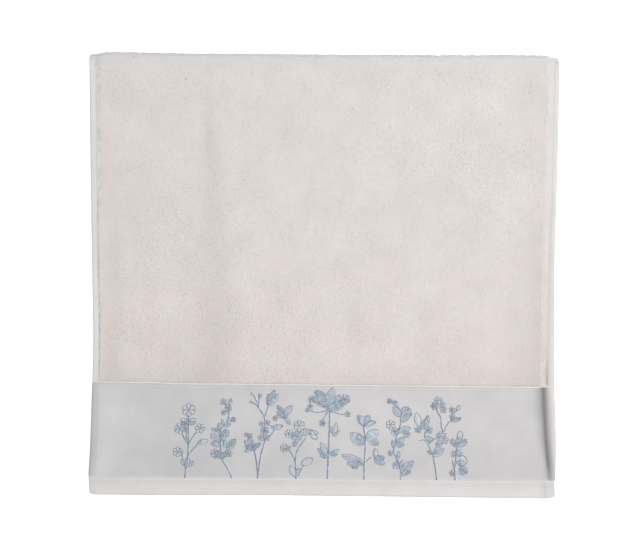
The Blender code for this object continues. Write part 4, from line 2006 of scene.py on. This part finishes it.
def sprigs() -> tuple[Sprig, ...]:
    """The nine plants, from left to right.

    Returns:
        The sprigs, each drawn from stems and a few kinds of flower and leaf.
    """
    return (
        plant(1, -149.2, (
            ((0, 0), (1, 9), (-2, 19), (-4, 27)), ((1, 6), (3, 18), (4, 34), (4, 48), (4.2, 66)),
            ((4, 34), (-1, 42), (-3, 48)), ((3.5, 36), (1.5, 45), (2, 54)), ((4, 34), (8, 41), (13, 48)),
            ((3.5, 22), (9, 29), (14, 34.5)),
        ), (
            (ROUND, 4.5, 71.3, 0, 6.9), (OPEN_LEAF, 4, 57, 60, 9, 0.55), (OPEN_LEAF, 4, 57, -60, 9, 0.55),
            (FAN, 4, 55, 0, 8), (SOLID, -5.5, 51.3, 10, 5.8), (ROUND, 16.5, 51.5, 20, 5.2),
            (OPEN_LEAF, 13.5, 35, -72, 12, 0.5), (BUD, 13.5, 35, -60, 6), (ROUND, -7.5, 26.5, 0, 5.2),
            (LEAF, -2, 24, 20, 7), (CUP, 1.8, 9.5, -10, 11), (LEAF, 4, 56, 74, 8, 0.5),
            (LEAF, 4, 56, -74, 8, 0.5), (LEAF, 3.5, 47, 24, 8, 0.36),
        )),
        plant(2, -98.6, (
            ((0, 0), (-5, 10), (-10, 18), (-12, 33), (-12.5, 49), (-6, 57), (-3.5, 63), (-3, 72), (-2, 79)),
            ((-3.5, 59), (1, 61)), ((-3, 74), (-8, 79)), ((-9, 24), (-6, 28), (-2, 33)),
        ), (
            (SOLID, -17.5, 25, 0, 5.2), (SOLID, -13, 24, 0, 4.4), (LEAF, -8, 22, -64, 8, 0.5),
            (SOLID, -11, 22, 20, 3.6), (SOLID, -3, 25, 0, 3.8), (LEAF, -5, 29, -38, 14, 0.55),
            (LEAF, -8, 31, -8, 9), (LEAF, -12, 33, 70, 11), (BELL, -12, 38, 46, 13), (BUD, -20, 49, 20, 4),
            (SOLID, -6.5, 47, 10, 4.4), (LEAF, -11, 38, -30, 11), (LEAF, -12.5, 50, 78, 7),
            (LEAF, -12.5, 50, 8, 8), (LEAF, -8.5, 54, -70, 8), (LEAF, -8.5, 55, 20, 7),
            (LEAF, -5, 57, -25, 7), (SOLID, 2, 61.5, 0, 3.0), (SOLID, -8.5, 69, 0, 3.2),
            (SOLID, -3.5, 74, 20, 4.0), (LEAF, -2, 76, -8, 8), (SOLID, -9, 80.5, 0, 3.8),
        )),
        plant(3, -71.0, (
            ((0, 0), (-0.5, 12), (-2.5, 24), (-4.5, 31)),
            ((0.5, 2), (3, 21), (7, 36), (9, 41), (15, 46), (18.5, 51)),
            ((7.5, 38), (6.5, 44), (7.5, 52), (7.5, 64), (3.5, 71), (0, 76), (-4.5, 80)),
            ((1.5, 75), (-1, 81), (-4, 88)), ((1, 78), (2.5, 88)), ((8, 65), (10.5, 73), (12.5, 79)),
        ), (
            (BUD, -4.5, 87, 24, 4.5), (BUD, -4.5, 79, 62, 4.5), (BUD, 2, 84, -12, 6),
            (LEAF, 12, 76, -2, 13, 0.44), (LEAF, 12, 76, -40, 16, 0.42), (LEAF, 12, 76, -21, 18, 0.40),
            (LEAF, 29, 66, 34, 13, 0.44), (LEAF, 29, 66, -36, 13, 0.52), (LEAF, 29, 67, -152, 12, 0.46),
            (LEAF, 29, 66, 96, 9, 0.5), (LEAF, 29, 66, 64, 9, 0.5), (SOLID, 28.5, 66, 0, 3.8),
            (SOLID, 19, 63, 0, 3.0), (LEAF, 15.5, 52, -76, 12), (LEAF, 18, 51, 40, 6),
            (ROUND, 4, 57, 0, 2.8), (SOLID, 10.5, 58, 0, 3.2), (SOLID, 7.5, 50, 10, 4.8),
            (ROUND, 4, 42, 0, 3.6), (SOLID, 10.5, 42.5, 0, 3.8), (LEAF, -4.5, 31, 48, 12, 0.62),
            (LEAF, -4, 31, -52, 9, 0.55), (LEAF, -4.5, 31, 112, 10), (LEAF, -4.5, 31, 84, 9),
            (LEAF, -4.5, 32, 8, 8), (SOLID, -4.5, 31, 0, 3.4), (LEAF, -6.5, 34, 22, 9, 0.4),
            (SOLID, -12, 45.5, 0, 2.8), (SOLID, -8, 44, 20, 3.0),
        )),
        plant(4, -29.7, (
            ((0, 0), (-0.5, 15), (-4.5, 25.5), (-8, 30)),
            ((-0.5, 13), (-0.5, 20), (1, 28), (5.5, 35.5), (12, 44)), ((2, 2.5), (5, 8), (8, 13)),
        ), (
            (OPEN_LEAF, -0.5, 0.5, 26, 13), (LEAF, 1, 1, -14, 9), (ROUND, -12.5, 31.5, 0, 4.6),
            (CUP, -7, 29, 30, 5), (SOLID, -1, 36, 0, 3.4), (SOLID, 1, 44, 0, 5.8),
            (ROUND, -7.5, 47, 15, 4.6), (ROUND, 3.5, 55.5, 0, 5.8), (LEAF, 3.5, 47, -78, 14),
            (OPEN_LEAF, 14.5, 50, -140, 12, 0.5), (OPEN_LEAF, 13.5, 49, -100, 10, 0.5),
            (OPEN_LEAF, 5.5, 14, -66, 13.5, 0.56),
        )),
        plant(5, 3.5, (
            ((0.4, 0), (1.4, 24), (2.4, 48), (3, 71)), ((0.6, 2), (2, 24), (2.8, 48), (3.4, 70)),
            ((1, 72), (-11, 70), (-20, 73)), ((0, 74), (-8, 80), (-16, 83)),
            ((2, 72), (11, 69), (19, 67.5)), ((1, 71), (-2.5, 65), (-4.5, 61)),
        ), (
            (SOLID, -17.5, 76, 0, 3.4), (SOLID, -21, 72.5, 0, 2.8), (SOLID, -16, 84, 10, 4.2),
            (LEAF, -1, 76, 50, 17), (LEAF, -1, 77, 30, 19), (LEAF, -2, 88, 72, 12, 0.5),
            (LEAF, 2, 74, -10, 22, 0.5), (LEAF, 1.5, 73, 10, 17), (LEAF, 2, 73, -38, 19, 0.5),
            (LEAF, 2, 72, -62, 20, 0.5), (SOLID, 19.5, 84, 10, 5.4), (SOLID, 22, 68, 0, 3.4),
            (SOLID, -5, 58.5, 0, 3.6), (SOLID, 2, 73, 0, 3.2), (LEAF, 7, 44, -12, 15, 0.36),
            (LEAF, 7, 44, -46, 9, 0.36), (LEAF, 6.5, 47, 18, 8, 0.36), (LEAF, 0.5, 21.5, 24, 17, 0.34),
            (LEAF, 0.5, 21.5, 46, 14, 0.36), (LEAF, 0.5, 22, 78, 8), (LEAF, 3, 25, -62, 11, 0.36),
            (LEAF, 3, 25, -92, 8),
        )),
        plant(6, 43.2, (
            ((0, 0), (0.5, 16), (1.5, 34), (1.5, 42), (-0.5, 56)), ((1.5, 17), (5, 20), (9, 23)),
            ((0, 14), (-5, 18), (-9, 21)),
        ), (
            (CUP, 0, 55, -24, 13), (LEAF, -1, 56, 24, 13, 0.42), (LEAF, 4, 58, -78, 9, 0.5),
            (LEAF, 0, 36, 50, 18, 0.66), (BUD, -3, 40, 30, 8), (LEAF, 2.5, 41, -52, 16, 0.66),
            (LEAF, 4.5, 43, -122, 13, 0.62), (LEAF, 0, 14.5, 66, 25, 0.36), (LEAF, -6, 14, 84, 12, 0.5),
            (SOLID, -9.5, 13.5, 0, 4.2), (LEAF, 12.5, 21.5, 0, 10, 0.56), (LEAF, 11.5, 23, -130, 13, 0.66),
            (LEAF, 12, 22, -92, 10, 0.5),
        )),
        plant(7, 82.5, (
            ((0, 0), (0.5, 7), (-3, 19), (-6.5, 25), (-7.5, 31), (-5.5, 38.5), (-3.5, 48), (0, 58),
             (0, 66), (1.5, 70.5), (-3.5, 77), (-11, 83)),
            ((-3.5, 47), (2, 50), (8, 50)), ((0.5, 6), (6, 11), (10, 15)),
        ), (
            (SOLID, -11.5, 83, 0, 3.2), (SOLID, -6.5, 81, 0, 2.8), (LEAF, -3.5, 76, 6, 7),
            (LEAF, 0, 73, -72, 9, 0.5), (LEAF, 0, 66, 34, 13, 0.6), (LEAF, 1, 60, -34, 17, 0.5),
            (LEAF, 2.5, 64, -60, 11, 0.5), (ROUND, -10.5, 57.5, 0, 5.0), (SOLID, -6, 50, 0, 4.6),
            (LEAF, -2, 50, -72, 13, 0.6), (SOLID, 7, 47, 0, 3.6), (LEAF, -4.5, 36, -48, 12, 0.5),
            (LEAF, -5, 35, -84, 9), (LEAF, -6.5, 32, 12, 9), (SOLID, -11, 27, 0, 3.2),
            (LEAF, -3, 20, -8, 9), (SOLID, -4.5, 14, 0, 4.4), (SOLID, 1, 13, 20, 3.8),
            (LEAF, 1, 6, -46, 17, 0.55), (LEAF, 1, 5, -80, 10, 0.5), (LEAF, 1, 2.5, -42, 9, 0.5),
            (LEAF, 0, 9, -14, 11),
        )),
        plant(8, 121.5, (
            ((0, 0), (-2.5, 16.5), (-5, 26.5), (-9, 36), (-14, 42), (-18.5, 40.5)),
            ((-9, 36.5), (-4, 42), (3, 45), (6.5, 48.5), (4.5, 57), (4.5, 65), (0.5, 72), (-0.5, 77)),
            ((6.5, 49), (10, 56), (14.5, 62), (23, 64.5)), ((14.5, 62), (16.5, 67), (16.5, 74)),
            ((16.5, 68), (22.5, 75)), ((-8, 38.5), (-12.5, 44), (-13, 51)),
        ), (
            (SOLID, 1.5, 83.5, 0, 4.8), (SOLID, -2.5, 78, 20, 4.4), (SOLID, 5.5, 79.5, 10, 3.8),
            (ROUND, 7, 74, 0, 3.8), (LEAF, 15, 62, -76, 11), (SOLID, 16.5, 67, 0, 3.2),
            (SOLID, 16.5, 74, 0, 3.4), (BUD, 21.5, 72, -26, 7), (OPEN_LEAF, -19, 55.5, 10, 15, 0.46),
            (LEAF, -17, 55, -36, 11, 0.6), (LEAF, -12, 55, -12, 13, 0.4), (SOLID, -20, 52.5, 0, 3.8),
            (SOLID, -14, 57, 0, 4.4), (SOLID, -8.5, 52, 0, 4.2), (LEAF, -1, 42, -62, 12, 0.55),
            (LEAF, -3, 41, 70, 11, 0.4), (SOLID, 4, 45.5, 0, 4.8), (ROUND, 8.5, 41, 0, 4.0),
            (SOLID, 2, 36.5, 0, 3.8), (LEAF, -4, 26, 56, 7), (LEAF, -4.5, 24, -58, 14, 0.5),
            (SOLID, -1, 29.5, 0, 3.4),
        )),
        plant(9, 141.2, (
            ((0, 0), (-0.5, 10), (0.5, 21), (2, 30), (2, 37)), ((-0.5, 9), (-2, 15), (-3, 20)),
        ), (
            (OPEN_LEAF, 4.5, 41, -6, 10, 0.62), (LEAF, 2, 34, -16, 12, 0.5), (LEAF, 2, 34, -50, 13, 0.5),
            (LEAF, 2, 34, 40, 9, 0.55), (LEAF, 2, 35, -70, 12, 0.45), (SOLID, -2.5, 40, 0, 3.2),
            (FAN, 1, 25, 56, 7), (FAN, 1.5, 25, -44, 8), (OPEN_LEAF, 6.8, 12.8, 0, 12.4, 0.95),
            (CUP, 6.2, 14, 4, 7), (LEAF, 4, 5, -74, 10, 0.5), (SOLID, 8.5, 9.5, 0, 4.8),
            (SOLID, -2.5, 6, 0, 3.8),
        )),
    )


# ---------------------------------------------------------------- seams and cords


@dataclass
class HemSeam:
    """The row of lock stitches that holds the turned hem down."""

    shape: ClothShape = SHAPE
    finish: ThreadFinish = Finishes().seam
    from_hem_edge: float = 15.6
    stitch: float = 2.9
    gap: float = 0.5
    radius: float = 0.24
    edge_clearance: float = 1.5

    def build(self) -> bpy.types.Object:
        """Sews the row.

        Returns:
            The piece.
        """
        shape = self.shape
        at = np.array([self.from_hem_edge * MM])
        left, right = (float(edge[0]) / MM for edge in shape.edges(at))
        starts = np.arange(left + self.edge_clearance, right - self.edge_clearance - self.stitch, self.stitch)
        ends = starts + self.stitch - self.gap

        def on_row(x: np.ndarray) -> np.ndarray:
            """The places of the row at those places across, in millimetres."""
            y = shape.skewed(x * MM, shape.hem_edge_y + self.from_hem_edge * MM) + shape.centring
            return np.stack((x, y / MM), axis=-1)

        work = ThreadWork("hem_seam", self.finish, "band")
        work.sew(on_row(starts), on_row(ends), self.radius)
        return work.build(shape, 0.35)


@dataclass
class BandCord:
    """A twisted cord woven in between the band and the pile."""

    name: str
    middle: float
    height: float
    radius: float
    finish: WeaveFinish
    shape: ClothShape = SHAPE
    ring_step: float = 0.8 * MM
    sides: int = 7
    twist_pitch: float = 3.2 * MM
    strand_share: float = 0.16
    left_clearance: float = 4.0 * MM
    right_clearance: float = 7.6 * MM

    def build(self) -> bpy.types.Object:
        """Makes the cord from selvage to selvage.

        Returns:
            The piece.
        """
        shape = self.shape
        left, right = (float(edge[0]) for edge in shape.edges(np.array([self.middle])))
        low, high = left + self.left_clearance, right - self.right_clearance
        count = round((high - low) / self.ring_step)
        x = np.linspace(low, high, count + 1)
        inset = np.minimum(x - left, right - x)
        top = shape.faces(Places(x, np.full_like(x, self.middle), inset))[0]
        centre = top + np.array((0.0, 0.0, self.height - self.radius))
        rings = []
        for corner in range(self.sides):
            angle = corner * math.tau / self.sides
            twist = np.cos(2 * angle - math.tau * x / self.twist_pitch)
            reach = self.radius * (1.0 + self.strand_share * twist)
            offset = np.stack((0.0 * x, reach * math.sin(angle), reach * math.cos(angle)), axis=-1)
            rings.append(centre + offset)
        flat = np.stack(rings, axis=1).reshape(-1, 3)
        ring, place = np.meshgrid(np.arange(count), np.arange(self.sides), indexing="ij")
        near, far, after = ring * self.sides, (ring + 1) * self.sides, (place + 1) % self.sides
        faces = quads(near + place, far + place, far + after, near + after)
        u = spread_map(flat[:, 0], flat[:, 1])[:, 0].reshape(count + 1, self.sides)
        v = mixed(MAP_MARGIN, 1.0 - MAP_MARGIN, np.arange(self.sides + 1) / self.sides)
        this, following = u[ring, place], u[ring + 1, place]
        lay = quad_map((this, following, following, this), (v[place], v[place], v[place + 1], v[place + 1]))
        piece = mesh_piece(self.name, flat, faces, lay)
        finish_piece(piece, "band", self.finish)
        return piece


# ---------------------------------------------------------------- the studio


@dataclass
class Studio:
    """A plain pale floor, soft lights all round and a camera that looks straight down."""

    shape: ClothShape = SHAPE
    frame_width: float = 686.7 * MM
    aim_x: float = -4.0 * MM
    aim_y: float = -5.2 * MM
    aim_height: float = 8.0 * MM
    camera_height: float = 4.0
    sensor: float = 36.0
    floor_size: float = 24.0
    floor_gap: float = 0.2 * MM
    floor_colour: Colour = (0.85, 0.85, 0.85)
    floor_glow: float = 0.75
    floor_unevenness: float = 1.01
    world_strength: float = 0.42
    lights: tuple[tuple[str, tuple[float, float, float], float, float], ...] = (
        ("softbox_above", (1.45, 0.30, 3.2), 2.0, 108.0),
    )

    def build(self) -> None:
        """Makes the floor, the world, the lights and the camera."""
        self.build_floor()
        self.build_world()
        for name, place, size, power in self.lights:
            self.build_light(name, place, size, power)
        self.build_camera()
        bpy.context.scene.view_settings.view_transform = "Standard"

    def build_floor(self) -> None:
        """Makes the floor a hair under the cloth."""
        half, level = self.floor_size / 2, -self.floor_gap
        mesh = bpy.data.meshes.new("floor")
        mesh.from_pydata(
            [(-half, -half, level), (half, -half, level), (half, half, level), (-half, half, level)],
            [], [(0, 1, 2, 3)],
        )
        floor = bpy.data.objects.new("floor", mesh)
        bpy.context.scene.collection.objects.link(floor)
        kit = NodeKit("floor_paper", 0.9, 0.0, 0.5)
        shade = kit.contrast(kit.noise((3.0, 3.0, 3.0), 1.0), 0.2, 0.8)
        pale = tuple(value * self.floor_unevenness for value in self.floor_colour)
        kit.feed(kit.blend(shade, self.floor_colour, pale), kit.shader.inputs["Base Color"])
        kit.shader.inputs["Emission Color"].default_value = (1.0, 1.0, 1.0, 1.0)
        kit.shader.inputs["Emission Strength"].default_value = self.floor_glow
        mesh.materials.append(kit.material)

    def build_world(self) -> None:
        """Makes the even white light that comes from all round."""
        world = bpy.data.worlds.new("soft_white")
        world.use_nodes = True
        background = world.node_tree.nodes["Background"]
        background.inputs["Color"].default_value = (1.0, 1.0, 1.0, 1.0)
        background.inputs["Strength"].default_value = self.world_strength
        bpy.context.scene.world = world

    def build_light(self, name: str, place: tuple[float, float, float], size: float, power: float) -> None:
        """Makes one square soft light that faces the towel.

        Args:
            name: the light's name.
            place: where it stands.
            size: the length of its side.
            power: its power in watts.
        """
        data = bpy.data.lights.new(name, "AREA")
        data.size = size
        data.energy = power
        light = bpy.data.objects.new(name, data)
        light.location = place
        towards = -light.location
        light.rotation_euler = towards.to_track_quat("-Z", "Y").to_euler()
        light.visible_camera = False
        bpy.context.scene.collection.objects.link(light)

    def build_camera(self) -> None:
        """Makes the camera over the towel."""
        data = bpy.data.cameras.new("camera")
        distance = self.camera_height - self.aim_height
        data.sensor_width = self.sensor
        data.lens = self.sensor * distance / self.frame_width
        data.clip_end = 100.0
        camera = bpy.data.objects.new("camera", data)
        camera.location = (self.aim_x, self.aim_y + self.shape.centring, self.camera_height)
        bpy.context.scene.collection.objects.link(camera)
        bpy.context.scene.camera = camera


# ---------------------------------------------------------------- main


def report(pieces: Sequence[bpy.types.Object]) -> None:
    """Writes each piece's name and its number of triangles to the log.

    Args:
        pieces: the pieces.
    """
    for piece in pieces:
        count = sum(len(face.vertices) - 2 for face in piece.data.polygons)
        LOG.info("%s: %d triangles", piece.name, count)


def main() -> None:
    logging.basicConfig(level=logging.INFO, format="%(name)s: %(message)s", stream=sys.stdout)
    Studio().build()
    terry, band = Cloth().build()
    report((terry, band))
    finishes = Finishes()
    lower = BandCord("lower_cord", SHAPE.end_of("lower cord, rising"), 0.14 * MM, 0.50 * MM, finishes.band_cord)
    lower.right_clearance = 13 * MM
    upper = BandCord("upper_cord", SHAPE.end_of("upper cord, rising"), 0.50 * MM, 0.90 * MM, finishes.pale_cord)
    trims = [*Pile().build(), lower.build(), upper.build(), HemSeam().build(), *Embroidery(sprigs()).build()]
    report(trims)


if __name__ == "__main__":
    main()
